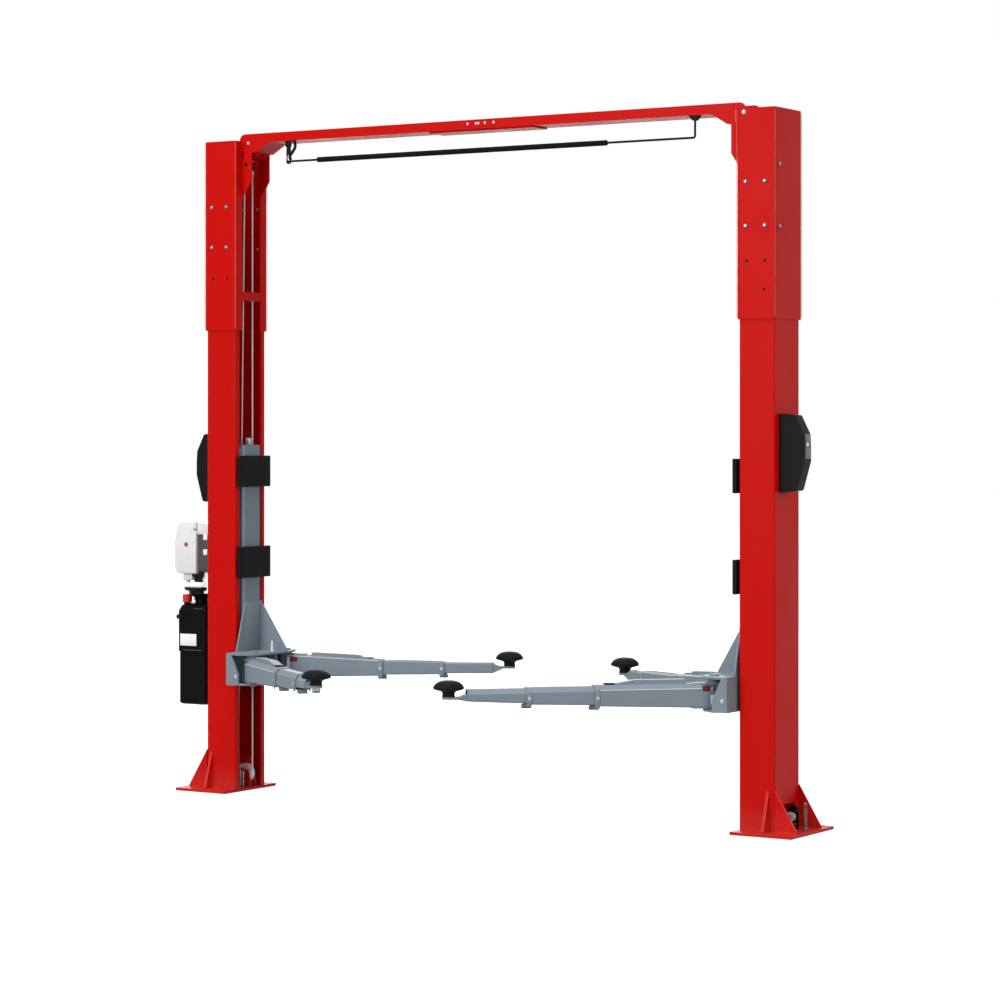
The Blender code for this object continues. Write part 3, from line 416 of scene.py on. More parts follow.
# A bolt's parts, as shares of its size
boltShares = {"washer": 1.05, "washerDepth": 0.16, "head": 0.80, "headDepth": 0.52, "chamfer": 0.12,
              "crown": 0.66, "thread": 0.48, "threadTip": 0.42, "threadLength": 0.8}


def addBolt(form, place, direction, size, washer=True):    # a hexagon head on its washer
    along = Vector(direction).normalized()
    spot = Vector(place)
    part = {key: size * share for key, share in boltShares.items()}
    if washer:
        addDisc(form, spot, along, part["washer"], part["washerDepth"])
        spot = spot + along * part["washerDepth"]
    addDisc(form, spot, along, part["head"], part["headDepth"], 6)
    addDisc(form, spot + along * part["headDepth"], along, part["head"], part["chamfer"], 6, part["crown"])


def addNut(form, place, direction, size, stub):    # a nut on its washer, with the thread's end through it
    addBolt(form, place, direction, size)
    depth = size * (boltShares["threadLength"] + stub)
    addDisc(form, place, direction, size * boltShares["thread"], depth, 16, size * boltShares["threadTip"])


beadValues = {"ripple": 0.005, "thin": 0.86, "swell": 0.28, "phase": 1.57}


def addBead(form, start, end, radius):    # a weld run, with its ripples
    run = Vector(end) - Vector(start)
    steps = max(3, int(run.length / beadValues["ripple"]))
    bead = bmesh.new()
    bmesh.ops.create_cone(bead, cap_ends=True, segments=8, radius1=radius, radius2=radius, depth=run.length)
    along = [edge for edge in bead.edges if abs(edge.verts[0].co.z - edge.verts[1].co.z) > run.length / 2]
    bmesh.ops.subdivide_edges(bead, edges=along, cuts=steps)
    for vert in bead.verts:
        wave = math.sin(vert.co.z / run.length * steps * beadValues["phase"]) ** 2
        swell = beadValues["thin"] + beadValues["swell"] * wave
        vert.co.x *= swell
        vert.co.y *= swell
    bmesh.ops.transform(bead, matrix=turnedTo((Vector(start) + Vector(end)) / 2, run), verts=bead.verts)
    mesh = bpy.data.meshes.new("bead")
    bead.to_mesh(mesh)
    bead.free()
    form.from_mesh(mesh)
    bpy.data.meshes.remove(mesh)


def addTube(form, points, radius):    # a bent round bar through the points
    line = bpy.data.curves.new("bar", "CURVE")
    line.dimensions = "3D"
    line.bevel_depth = radius
    line.bevel_resolution = 4
    line.use_fill_caps = True
    run = line.splines.new("BEZIER")
    run.bezier_points.add(len(points) - 1)
    for point, place in zip(run.bezier_points, points):
        point.co = place
        point.handle_left_type = point.handle_right_type = "AUTO"
    shown = bpy.data.objects.new("bar", line)
    mesh = bpy.data.meshes.new_from_object(shown)
    form.from_mesh(mesh)
    bpy.data.objects.remove(shown)
    bpy.data.curves.remove(line)
    bpy.data.meshes.remove(mesh)


# Extensions: bolts on washers painted dark as painted shade, their nuts inside, painted highlights along the
# bends at the corners, and socket screws

extensionValues = {
    "left": {"front": [(-0.055, 3.280), (0.046, 3.280), (-0.055, 3.055), (0.046, 3.055)],
             "outer": [(-0.104, 3.418), (-0.103, 3.105), (0.125, 3.109)], "lowScrews": []},
    "right": {"front": [(-0.051, 3.280), (0.057, 3.280), (-0.051, 3.057), (0.057, 3.057)],
              "outer": [(0.104, 3.366), (0.103, 3.053), (-0.125, 3.057)], "lowScrews": [(-0.046, 2.736)]},
    "frontFace": 0.1483, "outerFace": 0.1083, "wall": 0.008, "size": 0.0100, "washer": 0.0120,
    "washerDepth": 0.0018, "nutSize": 0.0090, "nutStub": 0.4,
    "bend": {"low": 2.600, "high": 3.640, "radius": 0.0014, "inset": (0.0009, 0.0011)},
    "screw": {"places": [-0.051, 0.051], "height": 2.880, "face": 0.1465, "radius": 0.0086, "depth": 0.004},
    "lowScrew": {"radius": 0.0078, "top": 0.0070, "depth": 0.0012},
}


def extensionFittings(values):
    for side, matrix in sideMatrices.items():
        spots = [((across, hand * values["frontFace"], height), (0, hand, 0))
                 for hand in (-1, 1) for across, height in values[side]["front"]]
        spots += [((-values["outerFace"], along, height), (-1, 0, 0))
                  for along, height in values[side]["outer"]]
        bolts = bmesh.new()
        washers = bmesh.new()
        for place, direction in spots:
            face = Vector(place)
            out = Vector(direction)
            addBolt(bolts, face + out * values["washerDepth"], out, values["size"], False)
            addNut(bolts, face - out * values["wall"], -out, values["nutSize"], values["nutStub"])
            # the washer is dark grey: painted shade round the bolt head
            addDisc(washers, face, out, values["washer"], values["washerDepth"])
        makePiece("extension_bolts_" + side, bolts, "zincPlatedSteel", "structure", matrix)
        makePiece("extension_washers_painted_shade_" + side, washers, "darkMotorPaint", "structure", matrix)
        # thin pale red rods at the corners: a painted highlight along the bends
        form = bmesh.new()
        bend = values["bend"]
        for hand in (-1, 1):
            for turn in (-1, 1):
                corner = (turn * (values["outerFace"] - bend["inset"][0]),
                          hand * (values["frontFace"] - bend["inset"][1]), bend["low"])
                addDisc(form, corner, (0, 0, 1), bend["radius"], bend["high"] - bend["low"], 10)
        makePiece("extension_bend_highlights_" + side, form, "paleRedEdge", "structure", matrix)
        form = bmesh.new()
        screw = values["screw"]
        low = values["lowScrew"]
        for hand in (-1, 1):
            for across in screw["places"]:
                addDisc(form, (across, hand * screw["face"], screw["height"]), (0, -hand, 0), screw["radius"],
                        screw["depth"], 20)
            for across, height in values[side]["lowScrews"]:
                addDisc(form, (across, hand * values["frontFace"], height), (0, hand, 0), low["radius"],
                        low["depth"], 20, low["top"])
        makePiece("socket_screws_" + side, form, "blackStovePaint", "structure", matrix)


extensionFittings(extensionValues)


# Beam: end bolts, the slot and hole beside them as thin black patches of painted shade, the weld on the end's
# fold in pale red as a painted highlight, and the splice bolts

beamValues = {
    "face": 0.0853, "bolts": [(0.101, 3.634), (0.151, 3.637)], "boltSize": 0.0085,
    "earBolt": (0.067, 0.1483, 3.631), "earSize": 0.0105,
    "slot": (0.103, 3.570), "slotHalf": (0.014, 0.018), "slotDepths": (0.0003, 0.0002), "slotEdge": 0.0001,
    "hole": (0.134, 3.518), "holeRadius": 0.011, "holeDepth": 0.0005,
    "fold": (0.1465, 3.589, 3.651), "foldBead": 0.0035,
    "spliceBolts": [-0.074, -0.021, -0.005, 0.036, 0.090], "spliceHeight": 3.6665, "spliceSize": 0.0068,
}


def beamFittings(values):
    face = values["face"]
    for side, matrix in sideMatrices.items():
        form = bmesh.new()
        for across, height in values["bolts"]:
            addBolt(form, (across, -face, height), (0, -1, 0), values["boltSize"])
        addBolt(form, values["earBolt"], (0, 1, 0), values["earSize"])
        makePiece("beam_end_bolts_" + side, form, "zincPlatedSteel", "structure", matrix)
        # the slot and the hole are thin black sheets on the face: painted shade
        form = bmesh.new()
        across, height = values["slot"]
        wide, tall = values["slotHalf"]
        proud, sunk = values["slotDepths"]
        addBlock(form, (across - wide, -face - proud, height - tall),
                 (across + wide, -face + sunk, height + tall), values["slotEdge"])
        across, height = values["hole"]
        addDisc(form, (across, -face + sunk, height), (0, -1, 0), values["holeRadius"], values["holeDepth"])
        makePiece("beam_end_recess_shade_" + side, form, "blackStovePaint", "structure", matrix)
        # the weld run is pale red: a painted highlight on the fold
        form = bmesh.new()
        across, low, high = values["fold"]
        addBead(form, (across, face, low), (across, face, high), values["foldBead"])
        makePiece("beam_end_weld_highlight_" + side, form, "paleRedEdge", "structure", matrix, sharp=60)
    form = bmesh.new()
    for across in values["spliceBolts"]:
        for hand in (-1, 1):
            place = (columnSpacing / 2 + across, hand * face, values["spliceHeight"])
            addBolt(form, place, (0, hand, 0), values["spliceSize"])
    makePiece("splice_bolts", form, "zincPlatedSteel", "structure")


beamFittings(beamValues)
print("column and beam hardware done")


# Anchor studs: one in the middle hole of each base plate, with its thread, washer and nut

studValues = {"place": (-0.202, 0.0, 0.0), "foot": 0.001, "top": 0.155, "tip": 0.002, "radius": 0.0095,
              "tipRadius": 0.0076, "nut": 0.0165, "plateTop": 0.016,
              "thread": {"low": 0.045, "pitch": 0.0044, "turns": 24, "depth": 0.0022, "root": 0.9,
                         "crest": 1.08}}


def anchorStuds(values):
    radius = values["radius"]
    shank = values["top"] - values["tip"]
    thread = values["thread"]
    parts = [(values["foot"], shank - values["foot"], radius, radius, 20),
             (shank, values["tip"], radius, values["tipRadius"], 20)]
    parts += [(thread["low"] + turn * thread["pitch"], thread["depth"], radius * thread["root"],
               radius * thread["crest"], 16) for turn in range(thread["turns"])]
    for side, matrix in sideMatrices.items():
        form = bmesh.new()
        addStack(form, values["place"], (0, 0, 1), parts)
        addBolt(form, Vector(values["place"]) + Vector((0, 0, values["plateTop"])), (0, 0, 1), values["nut"])
        makePiece("anchor_stud_" + side, form, "weatheredStudSteel", "structure", matrix)


anchorStuds(studValues)


# Cable guide at each column's window: a small sheave on a rounded plate that stands on the base

guideValues = {
    "middle": (-0.110, -0.022, 0.078),
    "sheave": {"bore": 0.008, "rim": 0.025, "half": 0.0085, "lip": 0.003, "groove": 0.007, "steps": 40},
    "plate": {"middle": -0.117, "face": -0.042, "half": 0.0275, "foot": 0.0165, "top": 0.134, "thick": 0.003,
              "edge": 0.0012, "arcSteps": 12},
    "bridge": {"below": (0.028, 0.022), "reach": 0.010, "edge": 0.001},
    "pin": {"from": 0.002, "radius": 0.0070, "length": 0.0300},
    "pinBolt": (0.0095, 0.0075), "footBolt": {"aside": 0.018, "height": 0.040, "size": 0.006},
}


def cableGuide(values):
    across, along, height = values["middle"]
    sheave = values["sheave"]
    rim, half, lip = sheave["rim"], sheave["half"], sheave["lip"]
    bottom = rim - sheave["groove"]
    profile = [(sheave["bore"], half), (rim, half), (rim, half - lip), (bottom, lip), (bottom, -lip),
               (rim, lip - half), (rim, -half), (sheave["bore"], -half)]
    plate = values["plate"]
    middle, face, wide, thick = plate["middle"], plate["face"], plate["half"], plate["thick"]
    turns = [math.pi * step / plate["arcSteps"] for step in range(plate["arcSteps"] + 1)]
    arc = [(middle + wide * math.cos(turn), plate["top"] - wide + wide * math.sin(turn)) for turn in turns]
    outline = [(middle + wide, plate["foot"]), *arc, (middle - wide, plate["foot"])]
    bridge, pin, foot = values["bridge"], values["pin"], values["footBolt"]
    for side, matrix in sideMatrices.items():
        form = bmesh.new()
        addTurned(form, profile, sheave["steps"], True)
        makePiece("guide_sheave_" + side, form, "castSheaveNylon", "structure",
                  matrix @ Matrix.Translation(values["middle"]) @ upright)
        form = bmesh.new()
        addPlate(form, outline, -face - thick, -face + thick, upright, plate["edge"])
        addBlock(form, (middle - wide, face - thick, plate["top"] - bridge["below"][0]),
                 (middle + wide, along + bridge["reach"], plate["top"] - bridge["below"][1]), bridge["edge"])
        addDisc(form, (across, face + pin["from"], height), (0, 1, 0), pin["radius"], pin["length"], 20)
        makePiece("guide_plate_" + side, form, "blackStovePaint", "structure", matrix)
        form = bmesh.new()
        gap, size = values["pinBolt"]
        addBolt(form, (across, along + gap, height), (0, 1, 0), size)
        addBolt(form, (across - foot["aside"], face + thick, foot["height"]), (0, 1, 0), foot["size"])
        makePiece("guide_bolts_" + side, form, "zincPlatedSteel", "structure", matrix)


cableGuide(guideValues)


# Bottom sheave's stand: stiffeners beside it, the red foot of the cylinder behind it, and the rods at its pin

standValues = {
    "walls": [(0.009, 0.017), (0.053, 0.061)], "from": 0.0642, "to": 0.0985, "foot": 0.0163, "lip": 0.014,
    "lean": 0.010, "top": 0.112, "edge": 0.0012,
    "block": [(-0.035, 0.078, 0.0163), (0.035, 0.128, 0.180)], "blockEdge": 0.004,
    "boss": [(0, 0.006, 0.018, 0.016, 32)],
    "rods": [(0.029, 0.108), (0.047, 0.104)], "rodAlong": 0.0045, "rodRadius": 0.0042,
    "pinHead": {"place": (0.038, 0.0088, 0.090), "radius": 0.0150, "depth": 0.0030},
}


def sheaveStand(values):
    near, far, foot, top = values["from"], values["to"], values["foot"], values["top"]
    outline = [(near, foot), (far, foot), (far, foot + values["lip"]), (near + values["lean"], top),
               (near, top)]
    low, high = values["block"]
    middle = ((low[0] + high[0]) / 2, (low[1] + high[1]) / 2, high[2])
    head = values["pinHead"]
    for side, matrix in sideMatrices.items():
        form = bmesh.new()
        for inner, outer in values["walls"]:
            addPlate(form, outline, -outer, -inner, upright, values["edge"])
        makePiece("sheave_stiffeners_" + side, form, "redPowderCoat", "structure", matrix)
        form = bmesh.new()
        addBlock(form, low, high, values["blockEdge"], 3)
        addStack(form, middle, (0, 0, 1), values["boss"])
        makePiece("cylinder_foot_" + side, form, "redPowderCoat", "structure", matrix)
        form = bmesh.new()
        for across, height in values["rods"]:
            addDisc(form, (across, values["rodAlong"], foot), (0, 0, 1), values["rodRadius"],
                    height - foot, 16)
        addDisc(form, head["place"], (0, -1, 0), head["radius"], head["depth"], 28)
        makePiece("sheave_pin_rods_" + side, form, "zincPlatedSteel", "structure", matrix)


sheaveStand(standValues)


# Weld runs round each column's foot, its fins and its gussets

weldValues = {"radius": 0.0035, "face": 0.140, "back": -0.1003, "foot": 0.016, "rise": 0.004, "top": 0.226,
              "finFaces": (-0.060, -0.070), "finEnd": 0.202, "finGaps": (0.001, 0.002), "gussetFoot": -0.222,
              "half": 0.085}


def baseWelds(values):
    back, foot, top, half = values["back"], values["foot"], values["top"], values["half"]
    start = foot + values["rise"]
    upGap, footGap = values["finGaps"]
    runs = [((back, -half, foot), (back, half, foot))]
    for hand in (-1, 1):
        face = hand * values["face"]
        for near in values["finFaces"]:
            up = face + hand * upGap
            runs.append(((near, up, start), (near, up, top)))
            runs.append(((near, face + hand * footGap, foot), (near, hand * values["finEnd"], foot)))
        runs.append(((back, face, start), (back, face, top)))
        runs.append(((back, face, foot), (values["gussetFoot"], face, foot)))
        runs.append(((-half, face, foot), (half, face, foot)))
    for side, matrix in sideMatrices.items():
        form = bmesh.new()
        for near, far in runs:
            addBead(form, near, far, values["radius"])
        makePiece("base_welds_" + side, form, "redPowderCoat", "structure", matrix, sharp=60)


baseWelds(weldValues)


# Pale red rods on the cut edges of gussets and fins: a painted highlight

edgeValues = {"radius": 0.0011, "gusset": [(-0.2213, 0.0263), (-0.1008, 0.2253)], "gussetFace": 0.1395,
              "fin": [(0.2045, 0.0243), (0.1412, 0.2250)], "finFaces": (-0.0605, -0.0695)}


def cutEdges(values):
    runs = []
    for hand in (-1, 1):
        runs.append([Vector((across, hand * values["gussetFace"], height))
                     for across, height in values["gusset"]])
        for face in values["finFaces"]:
            runs.append([Vector((face, hand * along, height)) for along, height in values["fin"]])
    for side, matrix in sideMatrices.items():
        form = bmesh.new()
        for low, high in runs:
            addDisc(form, low, high - low, values["radius"], (high - low).length, 10)
        makePiece("cut_edge_highlights_" + side, form, "paleRedEdge", "structure", matrix)


cutEdges(edgeValues)
print("base hardware and welds done")


# Lock covers: the grey insert on the outer face, a plate with a panel above it, and a white release button

coverValues = {
    "left": (-0.013, 1.815), "right": (0.052, 1.915), "face": -0.2433, "edge": 0.002,
    "plate": {"proud": 0.0028, "sunk": 0.004, "half": 0.030, "low": -0.030, "high": 0.028},
    "panel": {"proud": 0.0015, "sunk": 0.006, "half": 0.026, "low": 0.028, "high": 0.094},
    "button": (0.010, 0.042),
    "buttonParts": [(0.001, 0.003, 0.0095, 0.0095, 28), (0.004, 0.0015, 0.0075, 0.005, 28)],
}


def coverFittings(values):
    face = values["face"]
    aside, above = values["button"]
    for side, matrix in sideMatrices.items():
        middle, height = values[side]
        form = bmesh.new()
        for slab in (values["plate"], values["panel"]):
            addBlock(form, (face - slab["proud"], middle - slab["half"], height + slab["low"]),
                     (face + slab["sunk"], middle + slab["half"], height + slab["high"]), values["edge"])
        makePiece("lock_insert_" + side, form, "greyInsertPlastic", "structure", matrix)
        form = bmesh.new()
        addStack(form, (face, middle + aside, height + above), (-1, 0, 0), values["buttonParts"])
        makePiece("lock_button_" + side, form, "blankLabelVinyl", "structure", matrix)


coverFittings(coverValues)


# Cable ends: threaded ends with nuts and a red clevis on the equalising cable, and a lug on each carriage

cableValues = {
    "run": 0.088, "offset": 0.035, "ends": [(3.462, 3.545), (2.748, 2.780)], "radius": 0.0085,
    "nut": {"radius": 0.011475, "depth": 0.007, "fromLow": 0.002, "fromHigh": 0.009},
    "clevis": {"low": 3.492, "high": 3.543, "half": 0.0130, "edge": 0.004, "pin": 0.007, "proud": 0.004},
    "lug": {"low": (0.066, 0.000, 1.9453), "high": (0.096, 0.012, 1.984), "edge": 0.002, "eye": 0.007,
            "proud": 0.004, "below": 0.014, "length": 0.015},
}


def cableFittings(values):
    run, offset = values["run"], values["offset"]
    nut, clevis, lug = values["nut"], values["clevis"], values["lug"]
    half = clevis["half"]
    eye = ((lug["low"][0] + lug["high"][0]) / 2, lug["low"][1] - lug["proud"], lug["high"][2] - lug["below"])
    for side, matrix in sideMatrices.items():
        form = bmesh.new()
        for low, high in values["ends"]:
            addDisc(form, (run, offset, low), (0, 0, 1), values["radius"], high - low)
            for level in (low + nut["fromLow"], high - nut["fromHigh"]):
                addDisc(form, (run, offset, level), (0, 0, 1), nut["radius"], nut["depth"], 6)
        makePiece("cable_end_" + side, form, "zincPlatedSteel", "structure", matrix)
        form = bmesh.new()
        addBlock(form, (run - half, offset - half, clevis["low"]),
                 (run + half, offset + half, clevis["high"]), clevis["edge"])
        addDisc(form, (run, offset - half - clevis["proud"], (clevis["low"] + clevis["high"]) / 2), (0, 1, 0),
                clevis["pin"], 2 * (half + clevis["proud"]), 20)
        makePiece("cable_clevis_" + side, form, "darkRedPlastic", "structure", matrix)
        form = bmesh.new()
        addBlock(form, lug["low"], lug["high"], lug["edge"])
        addDisc(form, eye, (0, 1, 0), lug["eye"], lug["length"], 20)
        makePiece("carriage_lug_" + side, form, "paleEdgePaint", "carriage_" + side, matrix)


cableFittings(cableValues)


# Arm housings: the back plates between the flares, weld runs, a grease post and the cheeks' bolts

housingValues = {
    "back": (0.1146, 0.1236), "levels": (0.7873, 1.0665), "backEdge": 0.001,
    "plates": {"left": [(-0.0747, 0.0667)], "right": [(-0.0747, -0.0253), (-0.0147, 0.0747)]},
    "brace": {"left": 0.072, "right": -0.020}, "braceHalf": 0.0055, "braceBack": 0.002, "reach": 0.298,
    "shoulder": (0.082, 0.150), "top": 0.7872, "bead": 0.003,
    # only the left housing has a post, because the photo shows the right one bare
    "posts": {"left": (0.252, 0.0)},
    "postParts": [(0.0002, 0.005, 0.0095, 0.0095, 6), (0.005, 0.050, 0.006, 0.006, 20),
                  (0.055, 0.004, 0.006, 0.003, 20)],
    "cheekBolt": {"left": (0.184, 0.2433, 0.658), "right": (0.139, 0.2433, 0.668)}, "boltSize": 0.0115,
}


def housingFittings(values):
    back, front = values["back"]
    low, high = values["levels"]
    top, bead = values["top"], values["bead"]
    near, far = values["shoulder"]
    for side, matrix in sideMatrices.items():
        body = "carriage_" + side
        form = bmesh.new()
        for start, end in values["plates"][side]:
            addBlock(form, (back, start, low), (front, end, high), values["backEdge"])
        makePiece("housing_back_plate_" + side, form, "greyMachineEnamel", body, matrix)
        form = bmesh.new()
        for hand in (-1, 1):
            foot = values["brace"][side] + hand * values["braceHalf"]
            addBead(form, (front + values["braceBack"], foot, top), (values["reach"], foot, top), bead)
            addBead(form, (front, hand * near, top), (front, hand * far, top), bead)
        makePiece("housing_welds_" + side, form, "greyMachineEnamel", body, matrix, sharp=60)
        if side in values["posts"]:
            form = bmesh.new()
            addStack(form, (*values["posts"][side], top), (0, 0, 1), values["postParts"])
            makePiece("housing_post_" + side, form, "paleEdgePaint", body, matrix)
        form = bmesh.new()
        across, face, height = values["cheekBolt"][side]
        for hand in (-1, 1):
            addBolt(form, (across, hand * face, height), (0, hand, 0), values["boltSize"])
        makePiece("housing_bolts_" + side, form, "zincPlatedSteel", body, matrix)


housingFittings(housingValues)


# Rubber door bumpers: moulded blocks with crowned faces

bumperValues = {"crown": 0.0016, "edge": 0.006, "cuts": 9, "broad": 0.05, "outer": 0.5}


def doorBumper(name, body, values):
    low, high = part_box(name)
    form = bmesh.new()
    addBlock(form, low, high, values["edge"], 3)
    broad = [edge for edge in form.edges if edge.calc_length() > values["broad"]]
    bmesh.ops.subdivide_edges(form, edges=broad, cuts=values["cuts"], use_grid_fill=True)
    middle = (low + high) / 2
    half = (high - low) / 2
    inward = 1 if name.endswith("left") else -1
    for vert in form.verts:
        across = 1 - ((vert.co.y - middle.y) / half.y) ** 2
        up = 1 - ((vert.co.z - middle.z) / half.z) ** 2
        if (vert.co.x - middle.x) / half.x * inward > values["outer"]:
            vert.co.x -= inward * values["crown"] * (1 - across * up)
    made = makePiece("moulded_" + name, form, "mouldedRubber", body)
    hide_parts(name)


for side in sideMatrices:
    for level in ("lower", "upper"):
        doorBumper("door_bumper_" + level + "_" + side, "carriage_" + side, bumperValues)
print("covers and bumpers done")


# Lifting pads: mushroom heads of moulded rubber, turned from the crown down to the socket for the screw

padValues = {
    "profile": [(0.0, 0.7860), (0.018, 0.7856), (0.035, 0.7836), (0.050, 0.7784), (0.0625, 0.7704),
                (0.0718, 0.7610), (0.0762, 0.7530), (0.0776, 0.7480), (0.0764, 0.7440), (0.0720, 0.7405),
                (0.0590, 0.7365), (0.0430, 0.7325), (0.0335, 0.7270), (0.0310, 0.7200), (0.0310, 0.7090),
                (0.0330, 0.7040), (0.0325, 0.7032), (0.0140, 0.7032), (0.0124, 0.7045), (0.0124, 0.7640),
                (0.0, 0.7650)],
    "steps": 56,
}


def liftingPad(name, body, values):
    low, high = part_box(name)
    middle = (low + high) / 2
    form = bmesh.new()
    addTurned(form, values["profile"], values["steps"])
    made = makePiece("moulded_" + name, form, "mouldedRubber", body,
                     Matrix.Translation((middle.x, middle.y, 0)), sharp=50)
    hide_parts(name)


for name in [name for name in nodes if name.startswith("lift_pad_")]:
    liftingPad(name, name.replace("lift_pad_", "pad_"), padValues)
print("lifting pads done")


# Foam sleeve on the shut-off bar: a soft tube with a slit along its underside

foamValues = {"inner": 0.0064, "outer": 0.0148, "bevels": (0.0012, 0.002, 0.003), "steps": 28, "cuts": 70,
              "wave": 0.0005, "ripples": (31, 57), "slit": 0.0018, "slitTurn": 0.12, "skin": 0.0005}


def foamSleeve(values):
    low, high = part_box("shutoff_foam")
    middle = (low + high) / 2
    inner, outer = values["inner"], values["outer"]
    small, lip, curve = values["bevels"]
    form = bmesh.new()
    line = [(low.x + small, inner), (low.x, inner + lip), (low.x, outer - curve), (low.x + curve, outer),
            (high.x - curve, outer), (high.x, outer - curve), (high.x, inner + lip), (high.x - small, inner)]
    points = [form.verts.new((along, 0, radius)) for along, radius in line]
    edges = [form.edges.new(pair) for pair in zip(points, points[1:] + points[:1])]
    bmesh.ops.subdivide_edges(form, edges=[edges[3]], cuts=values["cuts"])
    bmesh.ops.spin(form, geom=form.verts[:] + form.edges[:], cent=(0, 0, 0), axis=(1, 0, 0),
                   angle=2 * math.pi, steps=values["steps"], use_merge=True)
    long, short = values["ripples"]
    for vert in form.verts:
        radius = math.hypot(vert.co.y, vert.co.z)
        if radius > outer - values["skin"]:
            turn = math.atan2(vert.co.y, vert.co.z)
            ripple = math.sin(vert.co.x * long) + math.sin(vert.co.x * short + turn * 2)
            give = values["wave"] * (ripple - 2) / 4
            if abs(abs(turn) - math.pi) < values["slitTurn"]:
                give -= values["slit"]
            vert.co.y *= 1 + give / radius
            vert.co.z *= 1 + give / radius
    made = makePiece("foam_sleeve", form, "closedCellFoam", "shutoff_bar",
                     Matrix.Translation((0, middle.y, middle.z)), sharp=60)
    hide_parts("shutoff_foam")


foamSleeve(foamValues)
print("foam sleeve done")


# Power unit: the motor's white hood with its ledge, its seam drawn in painted shade, and its button, the
# pump's flange, and the tank's neck, blank label, grey lines of painted highlight, and bolts

unitValues = {
    "hood": [(-0.2133, 1.2130), (-0.3400, 1.2130), (-0.3580, 1.2210), (-0.3690, 1.2450), (-0.3705, 1.3900),
             (-0.3590, 1.4500), (-0.3430, 1.4960), (-0.3280, 1.5080), (-0.3000, 1.5110), (-0.2133, 1.5110)],
    "hoodHalf": 0.0925, "hoodEdge": 0.009,
    "visor": [(-0.2132, 1.4358), (-0.2132, 1.5090), (-0.1350, 1.5000), (-0.1150, 1.4850), (-0.1150, 1.4358)],
    "visorHalf": 0.0850, "visorEdge": 0.006,
    "seam": [(-0.2160, 1.4980), (-0.2260, 1.4800), (-0.2460, 1.4650), (-0.2540, 1.4300), (-0.2440, 1.4040),
             (-0.2200, 1.3980)],
    "seamRadius": 0.0024, "button": (-0.284, -0.0912, 1.379),
    "neck": (-0.2450, 0, 0),
    "neckRings": {"low": 1.0600, "pitch": 0.0075, "count": 5, "disc": (0.0045, 0.0460, 0.0430, 36)},
    "tankHighlightLines": [([(-0.3000, -0.0995, 0.7800), (-0.2400, -0.0995, 0.7800), (-0.1700, -0.0995, 0.7800)],
                   0.0026),
                  ([(-0.2270, -0.0942, 1.0150), (-0.1950, -0.0942, 1.0160), (-0.1660, -0.0942, 1.0155)],
                   0.0022)],
    "tankBolts": [(-0.180, -0.0800, 1.0180), (-0.300, 0.0800, 1.0180), (-0.180, 0.0800, 1.0180)],
    "tankBoltSize": 0.009,
}

# Blocks of the power unit, by piece: finish, and for each block its low and high corner, edge and segments
unitBlocks = {
    "motor_hood_ledge": ("whiteAbs", [((-0.2290, -0.0935, 1.2250), (-0.2140, -0.0905, 1.4700), 0.0012, 2),
                                      ((-0.2330, -0.0935, 1.4600), (-0.2140, -0.0905, 1.4900), 0.0012, 2)]),
    "motor_plates": ("blankLabelVinyl", [((-0.168, -0.0862, 1.407), (-0.140, -0.0851, 1.439), 0.0004, 2),
                                         ((-0.168, -0.0862, 1.322), (-0.140, -0.0851, 1.354), 0.0004, 2)]),
    "switch_box": ("whiteAbs", [((-0.3300, -0.0640, 1.1750), (-0.2650, -0.0240, 1.2165), 0.006, 3)]),
    "pump_flange": ("blackStovePaint", [((-0.2620, -0.0700, 1.1950), (-0.1900, -0.0400, 1.2240), 0.004, 2),
                                        ((-0.2500, -0.0640, 1.1650), (-0.2000, -0.0510, 1.1960), 0.004, 2)]),
    "tank_label": ("blankLabelVinyl", [((-0.3220, -0.1012, 0.8050), (-0.2060, -0.1001, 0.8720), 0.0005, 2)]),
}

# Round parts of those pieces: where each stack starts, and its discs as addStack takes them
unitStacks = {
    "switch_box": [((-0.3100, -0.0440, 0), [(1.1600, 0.0160, 0.0130, 0.0130, 24)])],
    "pump_flange": [((-0.2500, 0, 0), [(1.1160, 0.0070, 0.0880, 0.0950, 48),
                                       (1.1230, 0.0130, 0.0950, 0.0940, 48)]),
                    ((-0.2450, 0, 0), [(1.0985, 0.0180, 0.0735, 0.0735, 40),
                                       (1.0800, 0.0186, 0.0500, 0.0640, 40)])],
}

# The start button's ring and cap, standing out from the hood
buttonParts = {
    "start_button_ring": ("greyInsertPlastic", [(0, 0.0030, 0.0130, 0.0130, 32),
                                                (0.0030, 0.0012, 0.0120, 0.0095, 32)]),
    "start_button": ("redCapPlastic", [(0.0038, 0.0025, 0.0080, 0.0065, 32)]),
}


def unitPiece(name):    # one piece of the blocks and stacks above
    finish, blocks = unitBlocks[name]
    form = bmesh.new()
    for low, high, edge, segments in blocks:
        addBlock(form, low, high, edge, segments)
    for place, parts in unitStacks.get(name, []):
        addStack(form, place, (0, 0, 1), parts)
    makePiece(name, form, finish, "structure")


def motorHood(values):
    form = bmesh.new()
    addPlate(form, values["hood"], -values["hoodHalf"], values["hoodHalf"], upright, values["hoodEdge"], 4)
    cover = makePiece("motor_hood", form, "whiteAbs", "structure", sharp=40)
    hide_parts("motor_cover")
    form = bmesh.new()
    addPlate(form, values["visor"], -values["visorHalf"], values["visorHalf"], upright,
             values["visorEdge"], 3)
    visor = makePiece("motor_visor", form, "whiteAbs", "structure", sharp=40)
    unitPiece("motor_hood_ledge")
    # the seam is a pale grey line on the white hood: painted shade
    form = bmesh.new()
    addTube(form, [(across, -values["hoodHalf"], height) for across, height in values["seam"]],
            values["seamRadius"])
    makePiece("motor_hood_seam_shade", form, "paleEdgePaint", "structure")
    for name, (finish, parts) in buttonParts.items():
        form = bmesh.new()
        addStack(form, values["button"], (0, -1, 0), parts)
        makePiece(name, form, finish, "structure")


